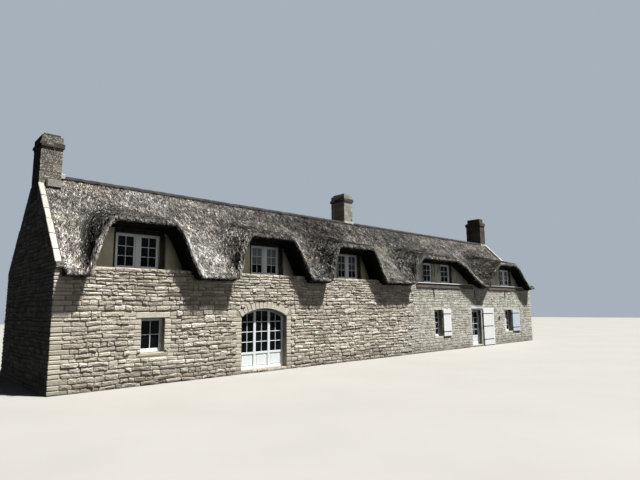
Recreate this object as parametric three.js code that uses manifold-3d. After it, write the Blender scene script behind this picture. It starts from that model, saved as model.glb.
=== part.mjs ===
// Long thatched granite cottage with eyebrow dormers, in millimetres, +Z up.
// Distances along x run from the outer face of the left gable, and distances along y run back
// from the outer face of the front wall. The last group moves the middle of the plan to the origin.
import * as THREE from "three";
import { mergeVertices } from "three/addons/utils/BufferGeometryUtils.js";
import Module from "manifold-3d";

// Driving dimensions
const houseLength = 27200;
const houseDepth = 5800;
const wallThickness = 600;
const ridgeY = houseDepth / 2;
const roofRise = 1.035;
const thatchAtWallFace = 3300;
const thatchRidgeTop = thatchAtWallFace + roofRise * ridgeY;
const thatchDrop = 470;
const eaveOverhang = 420;
const wallHeadHeight = 3000;
const dormerSillHeight = 3280;
const copingWidth = 180;
const copingRise = 120;
const contactGap = 0.3;

const floorThickness = 100;
const upperFloorTop = 2620;
const upperFloorThickness = 180;

// Eave heights: the thatch lip climbs a little along the first half of the house
const eaveLipLeft = 3000;
const eaveLipRight = 3170;
const eaveClimbLength = 14000;

// Thatch hoods over the dormers: feet and shoulders along x, height of the arch, and the side curves
const frontHoods = [
  { leftFoot: 780, leftShoulder: 1430, rightShoulder: 3030, rightFoot: 4030, crown: 4550 },
  { leftFoot: 5340, leftShoulder: 5870, rightShoulder: 7490, rightFoot: 8590, crown: 4510 },
  { leftFoot: 9500, leftShoulder: 10080, rightShoulder: 11780, rightFoot: 12820, crown: 4480 },
  { leftFoot: 14850, leftShoulder: 15520, rightShoulder: 18100, rightFoot: 21050, crown: 4380 },
  { leftFoot: 21500, leftShoulder: 23300, rightShoulder: 24500, rightFoot: 26640, crown: 4470 },
];
const backHoods = [
  { leftFoot: 5500, leftShoulder: 6700, rightShoulder: 8100, rightFoot: 9300, crown: 4450 },
  { leftFoot: 17900, leftShoulder: 19100, rightShoulder: 20500, rightFoot: 21700, crown: 4450 },
];
const leftSideCurve = 2.2;
const rightSideCurve = 0.88;
const hoodPitch = 0.268;

// The front edge of the thatch is a roll of this radius, thicker over the crowns
const rollRadius = 120;
const crownThickening = 40;
const thickeningFrom = 3200;
const thickeningRange = 900;

// Dormer fronts: the set-back face under each hood, with its windows
const dormerPanelThickness = 140;
const dormerWindowHead = 4330;
const frontDormers = [
  { name: "1", hood: 0, setBack: 450, windows: [[1640, 2950]] },
  { name: "2", hood: 1, setBack: 450, windows: [[6320, 7530]] },
  { name: "3", hood: 2, setBack: 450, windows: [[10600, 11780]] },
  { name: "4", hood: 3, setBack: 170, windows: [[16190, 16870], [17650, 18430]], head: 4240 },
  { name: "5", hood: 4, setBack: 170, windows: [[23800, 24900]], head: 4250 },
];
const backDormers = [
  { name: "back_1", hood: 0, setBack: 300, windows: [[6780, 8020]], head: 4230 },
  { name: "back_2", hood: 1, setBack: 300, windows: [[19180, 20420]], head: 4230 },
];

// Ground storey openings
const door = { left: 20090, right: 21190, head: 2010 };
const frenchWindow = {
  left: 5660,
  right: 7550,
  spring: 1830,
  crown: 2100,
  bays: 3,
  panelTop: 420,
  glassTop: 1770,
};
const groundWindows = [
  { name: "window_left_small", left: 2300, right: 3000, sill: 900, head: 1870, leaves: 1 },
  { name: "window_middle", left: 16690, right: 17340, sill: 700, head: 1960, leaves: 1 },
  { name: "window_right", left: 23760, right: 24590, sill: 680, head: 1900, leaves: 1 },
];
const backGroundWindows = [
  { name: "window_back_1", left: 6800, right: 8000, sill: 800, head: 2000, leaves: 2 },
  { name: "window_back_2", left: 13000, right: 14200, sill: 800, head: 2000, leaves: 2 },
  { name: "window_back_3", left: 19200, right: 20400, sill: 800, head: 2000, leaves: 2 },
];
const windowSetBack = 180;
const windowFrameDepth = 70;
const windowFrameWidth = 60;
const paneThickness = 16;

// Door leaves and shutters, open flat against the wall or closed in the frame
const leafWallClearance = 20;
const outerLeafGap = 22;
const outerLeaves = [
  {
    name: "boarded_door_leaf",
    pintles: "boarded_door_pintles",
    hingeX: 21230,
    width: 1130,
    thickness: 40,
    bottom: 40,
    top: 2020,
    hinges: [300, 1000, 1680],
  },
  {
    name: "shutter_middle",
    pintles: "shutter_middle_pintles",
    hingeX: 17370,
    width: 670,
    thickness: 40,
    bottom: 690,
    top: 1970,
    hinges: [860, 1720],
  },
  {
    name: "shutter_right",
    pintles: "shutter_right_pintles",
    hingeX: 24620,
    width: 880,
    thickness: 40,
    bottom: 670,
    top: 1910,
    hinges: [840, 1660],
  },
];
const pintle = {
  railWidth: 28,
  railDepth: 10,
  armWidth: 20,
  armOut: 52,
  armHeight: 24,
  pinRadius: 9,
  pinHeight: 50,
};
const strapEye = { outer: 18, inner: 12, height: 44, platDepth: 12 };
const doorFrame = { postWidth: 60, headDepth: 80, front: 20, back: 259 };
const glazedLeaf = {
  side: 8,
  bottom: 108,
  top: 1922,
  thickness: 44,
  stile: 110,
  panelTop: 588,
  hinges: [300, 950, 1650],
};
const buttHinge = { pinRadius: 4, outer: 8, inner: 5.2, height: 60, pinOut: 10, armHeight: 20 };
const doorLintelHeight = 150;
const doorLintelOut = 12;

// Chimneys: plan box, top, height of the string course and the size of the slab on top
const chimneys = [
  {
    name: "left",
    plan: { x0: 0, x1: 600, y0: 2440, y1: 3360 },
    base: 5420,
    top: 7440,
    band: { bottom: 7090, height: 140 },
    slab: 80,
    ledge: 100,
  },
  {
    name: "middle",
    plan: { x0: 13500, x1: 14080, y0: 2850, y1: 3770 },
    base: floorThickness,
    top: 7720,
    band: { bottom: 7390, height: 140 },
    slab: 80,
  },
  {
    name: "right",
    plan: { x0: 26600, x1: 27200, y0: 2800, y1: 3830 },
    base: 5000,
    top: 7800,
    band: { bottom: 7570, height: 190 },
    slab: 260,
  },
];
const chimneyBandOut = 45;
const ledgeBottom = 5830;
const ledgeTop = 6050;
const ridgeCap = { halfWidth: 200, height: 100, thickness: 70 };
const sillBeams = [
  { name: "sill_beam_4", left: 15300, right: 20350 },
  { name: "sill_beam_5", left: 21950, right: 26150 },
];
const sillBeam = { bottom: 3030, top: 3270, out: 55 };

// Materials
const granite = material(0xb9ad98, 0.95);
const paleGranite = material(0xd8d2c4, 0.9);
const lichenGranite = material(0x6e675c, 0.95);
const thatchStraw = material(0x77695c, 1.0);
const ridgeMortar = material(0x8f8474, 0.95);
const creamRender = material(0xe6dcc0, 0.9);
const whiteJoinery = material(0xe9edee, 0.55);
const greyTimber = material(0x8b8275, 0.8);
const boards = material(0x7d6c58, 0.8);
const flagstone = material(0x9a958a, 0.85);
const blackIron = material(0x23221f, 0.5, 0.8);

const wasm = await Module();
wasm.setup();

function material(color, roughness, metalness = 0) {
  return new THREE.MeshStandardMaterial({ color, roughness, metalness });
}

// Solids from three.js geometry, joined and cut
function solid(geometry) {
  const bare = new THREE.BufferGeometry();
  bare.setAttribute("position", geometry.getAttribute("position"));
  bare.setIndex(geometry.getIndex());
  const merged = mergeVertices(bare, 1e-3);
  const mesh = new wasm.Mesh({
    numProp: 3,
    vertProperties: merged.attributes.position.array,
    triVerts: new Uint32Array(merged.index.array),
  });
  return new wasm.Manifold(mesh);
}

function geometryOf(body) {
  const mesh = body.getMesh();
  const geometry = new THREE.BufferGeometry();
  geometry.setAttribute("position", new THREE.BufferAttribute(mesh.vertProperties, 3));
  geometry.setIndex(new THREE.BufferAttribute(mesh.triVerts, 1));
  return geometry;
}

function cut(body, cutters) {
  return cutters.reduce((rest, cutter) => rest.subtract(cutter), body);
}

function join(bodies) {
  return bodies.reduce((whole, body) => whole.add(body));
}

function box(x0, x1, y0, y1, z0, z1) {
  const geometry = new THREE.BoxGeometry(x1 - x0, y1 - y0, z1 - z0);
  geometry.translate((x0 + x1) / 2, (y0 + y1) / 2, (z0 + z1) / 2);
  return solid(geometry);
}

// An outline of [along, height] pairs, anticlockwise as seen from the front, made as thick as y0 to y1
function uprightPlate(outline, y0, y1) {
  const shape = new THREE.Shape(outline.map(([x, z]) => new THREE.Vector2(x, z)));
  const geometry = new THREE.ExtrudeGeometry(shape, { depth: y1 - y0, bevelEnabled: false });
  geometry.rotateX(Math.PI / 2);
  geometry.translate(0, y1, 0);
  return solid(geometry);
}

// An outline of [back, height] pairs run along the house from x0 to x1
function crossSection(outline, x0, x1) {
  const shape = new THREE.Shape(outline.map(([y, z]) => new THREE.Vector2(y, z)));
  const geometry = new THREE.ExtrudeGeometry(shape, { depth: x1 - x0, bevelEnabled: false });
  geometry.rotateX(Math.PI / 2);
  geometry.rotateZ(Math.PI / 2);
  geometry.translate(x0, 0, 0);
  return solid(geometry);
}

function mirroredToBack(body) {
  return body.mirror([0, 1, 0]).translate([0, houseDepth, 0]);
}

// Heights of the thatch
const lipInset = 370;
const lipBevel = 90;
const seatDrop = 80;
const underPitch = 0.2;

function easeLeft(t) {
  return 1 - Math.pow(1 - t, leftSideCurve);
}

function easeRight(t) {
  const s = Math.pow(t, rightSideCurve);
  return s * s * (3 - 2 * s);
}

function eaveLip(x) {
  const t = Math.min(1, x / eaveClimbLength);
  return eaveLipLeft + (eaveLipRight - eaveLipLeft) * t;
}

// Share of the hood's arch at x: 0 in the eave between two hoods, 1 across the crown
function hoodShare(hood, x) {
  if (x <= hood.leftFoot || x >= hood.rightFoot) return 0;
  const leftSide = hood.leftShoulder - hood.leftFoot;
  const rightSide = hood.rightFoot - hood.rightShoulder;
  if (x < hood.leftShoulder) return easeLeft((x - hood.leftFoot) / leftSide);
  if (x > hood.rightShoulder) return easeRight((hood.rightFoot - x) / rightSide);
  return 1;
}

function lipHeight(hoods, x) {
  const eave = eaveLip(x);
  return Math.max(...hoods.map((hood) => eave + (hood.crown - eave) * hoodShare(hood, x)));
}

// Top of the roll: the lip's curve grown outwards by the roll's radius
const rollSteps = 7;
function rollTop(hoods, x) {
  let top = 0;
  for (let i = -rollSteps; i <= rollSteps; i++) {
    const offset = (rollRadius * i) / rollSteps;
    const lip = lipHeight(hoods, x + offset);
    const crown = Math.min(1, Math.max(0, (lip - thickeningFrom) / thickeningRange));
    const rise = Math.sqrt(rollRadius * rollRadius - offset * offset);
    top = Math.max(top, lip + crownThickening * crown + rise);
  }
  return top;
}

// Further up the roof the hoods flatten out into each other
const softenSteps = 3;
const softenAtEave = 50;
const softenGrowth = 0.25;
function softRollTop(hoods, x, y) {
  const reach = softenAtEave + softenGrowth * (y + eaveOverhang);
  let sum = 0;
  for (let i = -softenSteps; i <= softenSteps; i++) sum += rollTop(hoods, x + (reach * i) / softenSteps);
  return sum / (2 * softenSteps + 1);
}

const blendReach = 250;
function smoothMax(a, b) {
  const h = Math.max(blendReach - Math.abs(a - b), 0) / blendReach;
  return Math.max(a, b) + (h * h * blendReach) / 4;
}

function thatchTop(hoods, x, y) {
  const plain = thatchAtWallFace + roofRise * y;
  const hood = softRollTop(hoods, x, y) + hoodPitch * (y + lipInset);
  return Math.min(thatchRidgeTop, smoothMax(plain, hood));
}

// Underside over the wall and the dormer front, where pieces below the thatch end
function thatchSeat(hoods, x) {
  return Math.max(wallHeadHeight, lipHeight(hoods, x) - seatDrop);
}

function thatchUnder(hoods, x, y) {
  const plain = thatchAtWallFace + roofRise * y - thatchDrop;
  const seat = thatchSeat(hoods, x) + contactGap;
  if (y <= wallThickness) return seat;
  return Math.max(plain, seat + underPitch * (y - wallThickness));
}

// Stations along the house: closer together on the sides of the hoods and on the rolls beside them
const thatchLeft = copingWidth;
const thatchRight = houseLength - copingWidth;
const wallEnds = [wallThickness, door.left, door.right, houseLength - wallThickness];
// The coat is laid in bays that end between the hoods, at the front also in line with the middle stack
const frontBayEnds = [thatchLeft, 4730, 9120, 13790, 21380, thatchRight];
const backBayEnds = [thatchLeft, 10700, 16500, thatchRight];
const leastSpacing = 30;
function thatchStations(hoods) {
  const stations = [];
  const spread = (from, to, parts) => {
    for (let i = 0; i <= parts; i++) stations.push(Math.round(from + ((to - from) * i) / parts));
  };
  for (const hood of hoods) {
    spread(hood.leftFoot - rollRadius, hood.leftFoot, 2);
    spread(hood.leftFoot, hood.leftShoulder, 7);
    spread(hood.leftShoulder, hood.rightShoulder, 3);
    spread(hood.rightShoulder, hood.rightFoot, 7);
    spread(hood.rightFoot, hood.rightFoot + rollRadius, 2);
  }
  const fixed = [...new Set([...wallEnds, ...frontBayEnds, ...backBayEnds])];
  const free = stations.filter((x) => fixed.every((end) => Math.abs(x - end) > leastSpacing));
  const inside = [...fixed, ...free].filter((x) => x >= thatchLeft && x <= thatchRight);
  inside.sort((a, b) => a - b);
  return inside.filter((x, i) => i === 0 || fixed.includes(x) || x - inside[i - 1] > leastSpacing);
}

const topRows = [-300, -120, 120, 420, 780, 1180, 1620, 2100, 2560];
const underRows = [2200, 1650, 1150, 750, wallThickness, 0];

function thatchSection(hoods, x) {
  const lip = lipHeight(hoods, x);
  const points = [];
  points.push([-lipInset, lip]);
  points.push([-eaveOverhang, lip + lipBevel]);
  for (const y of topRows) points.push([y, thatchTop(hoods, x, y)]);
  points.push([ridgeY, thatchRidgeTop]);
  points.push([ridgeY, thatchRidgeTop - thatchDrop]);
  for (const y of underRows) points.push([y, thatchUnder(hoods, x, y)]);
  return points;
}

// Closed skin through a row of sections with the same number of points
function loft(stations, section) {
  const rows = stations.map((x) => section(x).map(([y, z]) => [x, y, z]));
  const count = rows[0].length;
  const positions = rows.flat(2);
  const index = [];
  for (let i = 0; i + 1 < rows.length; i++) {
    for (let j = 0; j < count; j++) {
      const a = i * count + j;
      const b = i * count + ((j + 1) % count);
      index.push(a, a + count, b, b, a + count, b + count);
    }
  }
  const capOf = (row) => {
    const outline = row.map(([, y, z]) => new THREE.Vector2(y, z));
    return THREE.ShapeUtils.triangulateShape(outline, []);
  };
  const shift = (rows.length - 1) * count;
  for (const [a, b, c] of capOf(rows[0])) index.push(a, c, b);
  for (const [a, b, c] of capOf(rows[rows.length - 1])) index.push(shift + a, shift + b, shift + c);
  const geometry = new THREE.BufferGeometry();
  geometry.setAttribute("position", new THREE.Float32BufferAttribute(positions, 3));
  geometry.setIndex(index);
  return solid(geometry);
}

function chimneyHole({ plan, base, top }) {
  const gap = contactGap;
  return box(plan.x0 - gap, plan.x1 + gap, plan.y0 - gap, plan.y1 + gap, base, top);
}

function thatchBays(hoods, ends) {
  const stations = thatchStations(hoods);
  return ends.slice(1).map((end, i) => {
    const inBay = stations.filter((x) => x >= ends[i] && x <= end);
    return loft(inBay, (x) => thatchSection(hoods, x));
  });
}

// Walls
function wallTop(hoods, x) {
  return Math.min(dormerSillHeight, thatchSeat(hoods, x));
}

function wallBetween(hoods, x0, x1) {
  const stations = thatchStations(hoods).filter((x) => x > x0 && x < x1);
  const top = [x0, ...stations, x1].reverse().map((x) => [x, wallTop(hoods, x)]);
  return uprightPlate([[x0, 0], [x1, 0], ...top], 0, wallThickness);
}

const through = 50;
function windowHole({ left, right, sill, head }) {
  return box(left, right, -through, wallThickness + through, sill, head);
}

// Arched head: a segment of a circle from springing to springing through the crown
function archPoints(left, right, spring, crown, parts) {
  const half = (right - left) / 2;
  const rise = crown - spring;
  const radius = (half * half + rise * rise) / (2 * rise);
  const spread = Math.asin(half / radius);
  const points = [];
  for (let i = 0; i <= parts; i++) {
    const angle = spread - (2 * spread * i) / parts;
    points.push([(left + right) / 2 + radius * Math.sin(angle), crown - radius + radius * Math.cos(angle)]);
  }
  return points;
}

const archParts = 10;
function archedPlate(left, right, bottom, spring, crown, y0, y1) {
  const head = archPoints(left, right, spring, crown, archParts);
  return uprightPlate([[left, bottom], [right, bottom], ...head], y0, y1);
}

function frontWallLeft() {
  const french = archedPlate(
    frenchWindow.left,
    frenchWindow.right,
    floorThickness,
    frenchWindow.spring,
    frenchWindow.crown,
    -through,
    wallThickness + through,
  );
  const holes = groundWindows.slice(0, 2).map(windowHole);
  return cut(wallBetween(frontHoods, wallThickness, door.left), [french, ...holes]);
}

function frontWallRight() {
  const whole = wallBetween(frontHoods, door.right, houseLength - wallThickness);
  return whole.subtract(windowHole(groundWindows[2]));
}

const lintelTop = door.head + doorLintelHeight;
function frontWallOverDoor() {
  const whole = wallBetween(frontHoods, door.left, door.right);
  const back = wallThickness + through;
  return whole.subtract(box(door.left - 1, door.right + 1, -through, back, -through, lintelTop));
}

function backWall() {
  const whole = wallBetween(backHoods, wallThickness, houseLength - wallThickness);
  return mirroredToBack(cut(whole, backGroundWindows.map(windowHole)));
}

// Gable: the outer half carries the coping, the inner half stops under the thatch
const copingTopAtFace = 3420;
function copingTop(y) {
  return copingTopAtFace + roofRise * Math.min(y, houseDepth - y);
}

function gable(outerX0, outerX1, innerX0, innerX1) {
  const under = (y) => copingTop(y) - copingRise - contactGap;
  const outer = [
    [0, 0],
    [houseDepth, 0],
    [houseDepth, under(houseDepth)],
    [ridgeY, under(ridgeY)],
    [0, under(0)],
  ];
  const innerRidge = thatchRidgeTop - thatchDrop - contactGap;
  const innerShoulder = 750;
  const innerHeight = thatchAtWallFace + roofRise * innerShoulder - thatchDrop - contactGap;
  const inner = [
    [0, 0],
    [houseDepth, 0],
    [houseDepth, wallHeadHeight],
    [houseDepth - wallThickness, wallHeadHeight],
    [houseDepth - innerShoulder, innerHeight],
    [ridgeY, innerRidge],
    [innerShoulder, innerHeight],
    [wallThickness, wallHeadHeight],
    [0, wallHeadHeight],
  ];
  const whole = join([crossSection(outer, outerX0, outerX1), crossSection(inner, innerX0, innerX1)]);
  return cut(whole, chimneys.map(chimneyHole));
}

// Coping stones with the corbelled kneeler at the foot
const kneelerOut = 70;
const kneelerDrop = 200;
const kneelerFace = 80;
function copingSlope(x0, x1) {
  const foot = copingTop(0) - roofRise * kneelerOut;
  const outline = [
    [0, copingTop(0) - copingRise],
    [ridgeY, copingTop(ridgeY) - copingRise],
    [ridgeY, copingTop(ridgeY)],
    [-kneelerOut, foot],
    [-kneelerOut, foot - kneelerFace],
    [-contactGap, foot - kneelerDrop],
    [-contactGap, copingTop(0) - copingRise],
  ];
  return crossSection(outline, x0, x1);
}

// Dormer fronts and windows
function dormerOutline(hoods, dormer) {
  const hood = hoods[dormer.hood];
  const least = dormerSillHeight + 40;
  const stations = thatchStations(hoods).filter(
    (x) => x > hood.leftFoot && x < hood.rightFoot && thatchSeat(hoods, x) > least,
  );
  const top = [...stations].reverse().map((x) => [x, thatchSeat(hoods, x)]);
  return [[stations[0], dormerSillHeight], [stations[stations.length - 1], dormerSillHeight], ...top];
}

function dormerHead(dormer) {
  return dormer.head ?? dormerWindowHead;
}

function dormerFront(hoods, dormer) {
  const back = dormer.setBack + dormerPanelThickness;
  const plate = uprightPlate(dormerOutline(hoods, dormer), dormer.setBack, back);
  const holes = dormer.windows.map(([left, right]) =>
    box(left, right, dormer.setBack - through, back + through, dormerSillHeight - 1, dormerHead(dormer)),
  );
  return cut(plate, holes);
}

// Pockets on both faces of a frame of bays side by side leave a sheet of glass in each bay
function panePockets(left, right, z0, z1, front, bays) {
  const bayWidth = (right - left) / bays;
  const pocketDepth = (windowFrameDepth - paneThickness) / 2;
  const back = front + windowFrameDepth;
  const pockets = [];
  for (let i = 0; i < bays; i++) {
    const x0 = left + i * bayWidth + windowFrameWidth;
    const x1 = left + (i + 1) * bayWidth - windowFrameWidth;
    pockets.push(box(x0, x1, front - through, front + pocketDepth, z0, z1));
    pockets.push(box(x0, x1, back - pocketDepth, back + through, z0, z1));
  }
  return pockets;
}

function windowBody(left, right, sill, head, front, leaves) {
  const outer = box(left, right, front, front + windowFrameDepth, sill, head);
  const z0 = sill + windowFrameWidth;
  const z1 = head - windowFrameWidth;
  return cut(outer, panePockets(left, right, z0, z1, front, leaves));
}

function frenchWindowBody() {
  const { left, right, spring, crown, bays, panelTop, glassTop } = frenchWindow;
  const front = windowSetBack;
  const back = front + windowFrameDepth;
  const outer = archedPlate(left, right, floorThickness, spring, crown, front, back);
  return cut(outer, panePockets(left, right, panelTop, glassTop, front, bays));
}

// Upright round bars and rings, for hinge pins and the eyes around them
const roundSides = 12;
function uprightBar(x, y, z0, z1, radius) {
  const geometry = new THREE.CylinderGeometry(radius, radius, z1 - z0, roundSides);
  geometry.rotateX(Math.PI / 2);
  geometry.translate(x, y, (z0 + z1) / 2);
  return solid(geometry);
}

function uprightRing(x, y, z0, z1, outer, inner) {
  return uprightBar(x, y, z0, z1, outer).subtract(uprightBar(x, y, z0 - 1, z1 + 1, inner));
}

// Outer leaves of boards hang on pintles in the wall, in line with the middle of their thickness
function pinLine(leaf) {
  return -leafWallClearance - leaf.thickness / 2;
}

function outerLeafBody(leaf) {
  const pinY = pinLine(leaf);
  const x0 = leaf.hingeX + outerLeafGap;
  const back = -leafWallClearance;
  const parts = [box(x0, x0 + leaf.width, back - leaf.thickness, back, leaf.bottom, leaf.top)];
  for (const height of leaf.hinges) {
    const z0 = height + pintle.armHeight + contactGap;
    const z1 = z0 + strapEye.height;
    const half = strapEye.platDepth / 2;
    parts.push(uprightRing(leaf.hingeX, pinY, z0, z1, strapEye.outer, strapEye.inner));
    parts.push(box(leaf.hingeX + strapEye.inner + 2, x0 + 10, pinY - half, pinY + half, z0, z1));
  }
  return join(parts);
}

function pintlesBody(leaf) {
  const { railWidth, railDepth, armWidth, armOut, armHeight, pinRadius, pinHeight } = pintle;
  const x = leaf.hingeX;
  const low = leaf.hinges[0] - 60;
  const high = leaf.hinges[leaf.hinges.length - 1] + 100;
  const parts = [box(x - railWidth / 2, x + railWidth / 2, -railDepth, 0, low, high)];
  for (const height of leaf.hinges) {
    const armTop = height + armHeight;
    parts.push(box(x - armWidth / 2, x + armWidth / 2, -armOut, -railDepth + 1, height, armTop));
    parts.push(uprightBar(x, pinLine(leaf), armTop - 1, armTop + pinHeight, pinRadius));
  }
  return join(parts);
}

// The inner door: a frame of two posts and a head, and a glazed leaf that opens into the house
function glazedHingeLine() {
  return { x: door.left + doorFrame.postWidth, y: doorFrame.back + buttHinge.pinOut };
}

function doorFrameBody() {
  const { front, back, postWidth, headDepth } = doorFrame;
  const outer = box(door.left, door.right, front, back, floorThickness, door.head);
  const clear = box(
    door.left + postWidth,
    door.right - postWidth,
    front - through,
    back + through,
    floorThickness - 1,
    door.head - headDepth,
  );
  const { x, y } = glazedHingeLine();
  const parts = [outer.subtract(clear)];
  for (const height of glazedLeaf.hinges) {
    const armTop = height + buttHinge.armHeight;
    parts.push(box(x - 16, x + 2, back - 1, y + 7, height, armTop));
    parts.push(uprightBar(x, y, armTop - 1, armTop + buttHinge.height, buttHinge.pinRadius));
  }
  return join(parts);
}

function glazedDoorLeaf() {
  const { side, thickness, bottom, top, stile, panelTop, hinges } = glazedLeaf;
  const x0 = door.left + doorFrame.postWidth + side;
  const x1 = door.right - doorFrame.postWidth - side;
  const y1 = doorFrame.back;
  const y0 = y1 - thickness;
  const pocket = (thickness - paneThickness) / 2;
  const leaf = cut(box(x0, x1, y0, y1, bottom, top), [
    box(x0 + stile, x1 - stile, y0 - through, y0 + pocket, panelTop, top - stile),
    box(x0 + stile, x1 - stile, y1 - pocket, y1 + through, panelTop, top - stile),
  ]);
  const { x, y } = glazedHingeLine();
  const parts = [leaf];
  for (const height of hinges) {
    const z0 = height + buttHinge.armHeight + contactGap;
    const z1 = z0 + buttHinge.height;
    parts.push(uprightRing(x, y, z0, z1, buttHinge.outer, buttHinge.inner));
    parts.push(box(x + buttHinge.inner + 1, x + 34, y1 - 2, y - 1, z0, z1));
  }
  return join(parts);
}

// Chimneys
const slabInset = 70;
function chimneyStack(chimney) {
  const { base, top, band, ledge, slab } = chimney;
  const { x0, x1, y0, y1 } = chimney.plan;
  const out = chimneyBandOut;
  const inset = slabInset;
  const bandTop = band.bottom + band.height;
  const parts = [
    box(x0, x1, y0, y1, base, top),
    box(Math.max(0, x0 - out), Math.min(houseLength, x1 + out), y0 - out, y1 + out, band.bottom, bandTop),
    box(x0 + inset, x1 - inset, y0 + inset, y1 - inset, top - 1, top + slab),
  ];
  if (ledge) parts.push(box(x0 + copingWidth, x1, y0 - ledge, y1 + ledge, ledgeBottom, ledgeTop));
  return join(parts);
}

function ridgeCapRun(x0, x1) {
  const { halfWidth, height, thickness } = ridgeCap;
  const top = thatchRidgeTop + height;
  const edge = thatchRidgeTop - roofRise * halfWidth + contactGap;
  const outline = [
    [ridgeY - halfWidth, edge],
    [ridgeY, thatchRidgeTop + contactGap],
    [ridgeY + halfWidth, edge],
    [ridgeY + halfWidth, edge + thickness],
    [ridgeY + halfWidth / 4, top],
    [ridgeY - halfWidth / 4, top],
    [ridgeY - halfWidth, edge + thickness],
  ];
  return crossSection(outline, x0, x1);
}

// The assembly
const house = new THREE.Group();

function add(name, body, finish) {
  const mesh = new THREE.Mesh(geometryOf(body), finish);
  mesh.name = name;
  house.add(mesh);
}

function addWalls() {
  const x0 = wallThickness;
  const x1 = houseLength - wallThickness;
  const y1 = houseDepth - wallThickness;
  add("ground_floor", box(x0, x1, wallThickness, y1, 0, floorThickness), flagstone);
  const deck = box(x0, x1, wallThickness, y1, upperFloorTop - upperFloorThickness, upperFloorTop);
  add("upper_floor", cut(deck, chimneys.map(chimneyHole)), boards);
  add("front_wall_left", frontWallLeft(), granite);
  add("front_wall_right", frontWallRight(), granite);
  add("front_wall_over_door", frontWallOverDoor(), granite);
  add("back_wall", backWall(), granite);
  add("gable_left", gable(0, copingWidth, copingWidth, wallThickness), granite);
  add("gable_right", gable(thatchRight, houseLength, x1, thatchRight), granite);
}

function addRoof() {
  const holes = chimneys.map(chimneyHole);
  thatchBays(frontHoods, frontBayEnds).forEach((bay, i) => {
    add(`thatch_front_${i + 1}`, cut(bay, holes), thatchStraw);
  });
  thatchBays(backHoods, backBayEnds).forEach((bay, i) => {
    add(`thatch_back_${i + 1}`, cut(mirroredToBack(bay), holes), thatchStraw);
  });
  const [left, middle, right] = chimneys.map((chimney) => chimney.plan);
  const joint = (middle.x0 + middle.x1) / 2;
  add("ridge_cap_left", cut(ridgeCapRun(left.x1 + contactGap, joint), holes), ridgeMortar);
  add("ridge_cap_right", cut(ridgeCapRun(joint, right.x0 - contactGap), holes), ridgeMortar);
}

function addCopings() {
  const ends = { left: [0, copingWidth - contactGap], right: [thatchRight + contactGap, houseLength] };
  for (const [side, [x0, x1]] of Object.entries(ends)) {
    const holes = chimneys.map(chimneyHole);
    const slope = copingSlope(x0, x1);
    add(`coping_${side}_front`, cut(slope, holes), paleGranite);
    add(`coping_${side}_back`, cut(mirroredToBack(slope), holes), paleGranite);
  }
}

function addChimneys() {
  for (const chimney of chimneys) add(`chimney_${chimney.name}`, chimneyStack(chimney), lichenGranite);
}

function addDormers(hoods, dormers, toBack) {
  const place = toBack ? mirroredToBack : (body) => body;
  for (const dormer of dormers) {
    add(`dormer_front_${dormer.name}`, place(dormerFront(hoods, dormer)), creamRender);
    dormer.windows.forEach(([left, right], i) => {
      const suffix = dormer.windows.length > 1 ? "ab"[i] : "";
      const front = dormer.setBack + 40;
      const leaves = right - left > 1000 ? 2 : 1;
      const body = windowBody(left, right, dormerSillHeight, dormerHead(dormer), front, leaves);
      add(`dormer_window_${dormer.name}${suffix}`, place(body), whiteJoinery);
    });
  }
}

function addGroundOpenings() {
  for (const w of groundWindows) {
    add(w.name, windowBody(w.left, w.right, w.sill, w.head, windowSetBack, w.leaves), whiteJoinery);
  }
  for (const w of backGroundWindows) {
    const body = windowBody(w.left, w.right, w.sill, w.head, windowSetBack, w.leaves);
    add(w.name, mirroredToBack(body), whiteJoinery);
  }
  add("french_window", frenchWindowBody(), whiteJoinery);
  add("door_frame", doorFrameBody(), whiteJoinery);
  add("glazed_door_leaf", glazedDoorLeaf(), whiteJoinery);
  const { left, right, head } = door;
  add("door_threshold", box(left, right, 0, wallThickness, 0, floorThickness), paleGranite);
  add("door_lintel", box(left, right, -doorLintelOut, wallThickness, head, lintelTop), whiteJoinery);
  for (const leaf of outerLeaves) {
    add(leaf.name, outerLeafBody(leaf), whiteJoinery);
    add(leaf.pintles, pintlesBody(leaf), blackIron);
  }
  for (const beam of sillBeams) {
    const body = box(beam.left, beam.right, -sillBeam.out, 0, sillBeam.bottom, sillBeam.top);
    add(beam.name, body, greyTimber);
  }
}

addWalls();
addRoof();
addCopings();
addChimneys();
addDormers(frontHoods, frontDormers, false);
addDormers(backHoods, backDormers, true);
addGroundOpenings();

const cottage = new THREE.Group();
house.position.set(-houseLength / 2, -houseDepth / 2, 0);
cottage.add(house);

export default cottage;
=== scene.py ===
# Thatched granite cottage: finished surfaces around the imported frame.
# Row frame in metres: x along the front, y back from the front, z up, middle of the plan at the origin.
import math
import random
import bpy
import numpy as np
from mathutils import Matrix, Vector, noise


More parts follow.
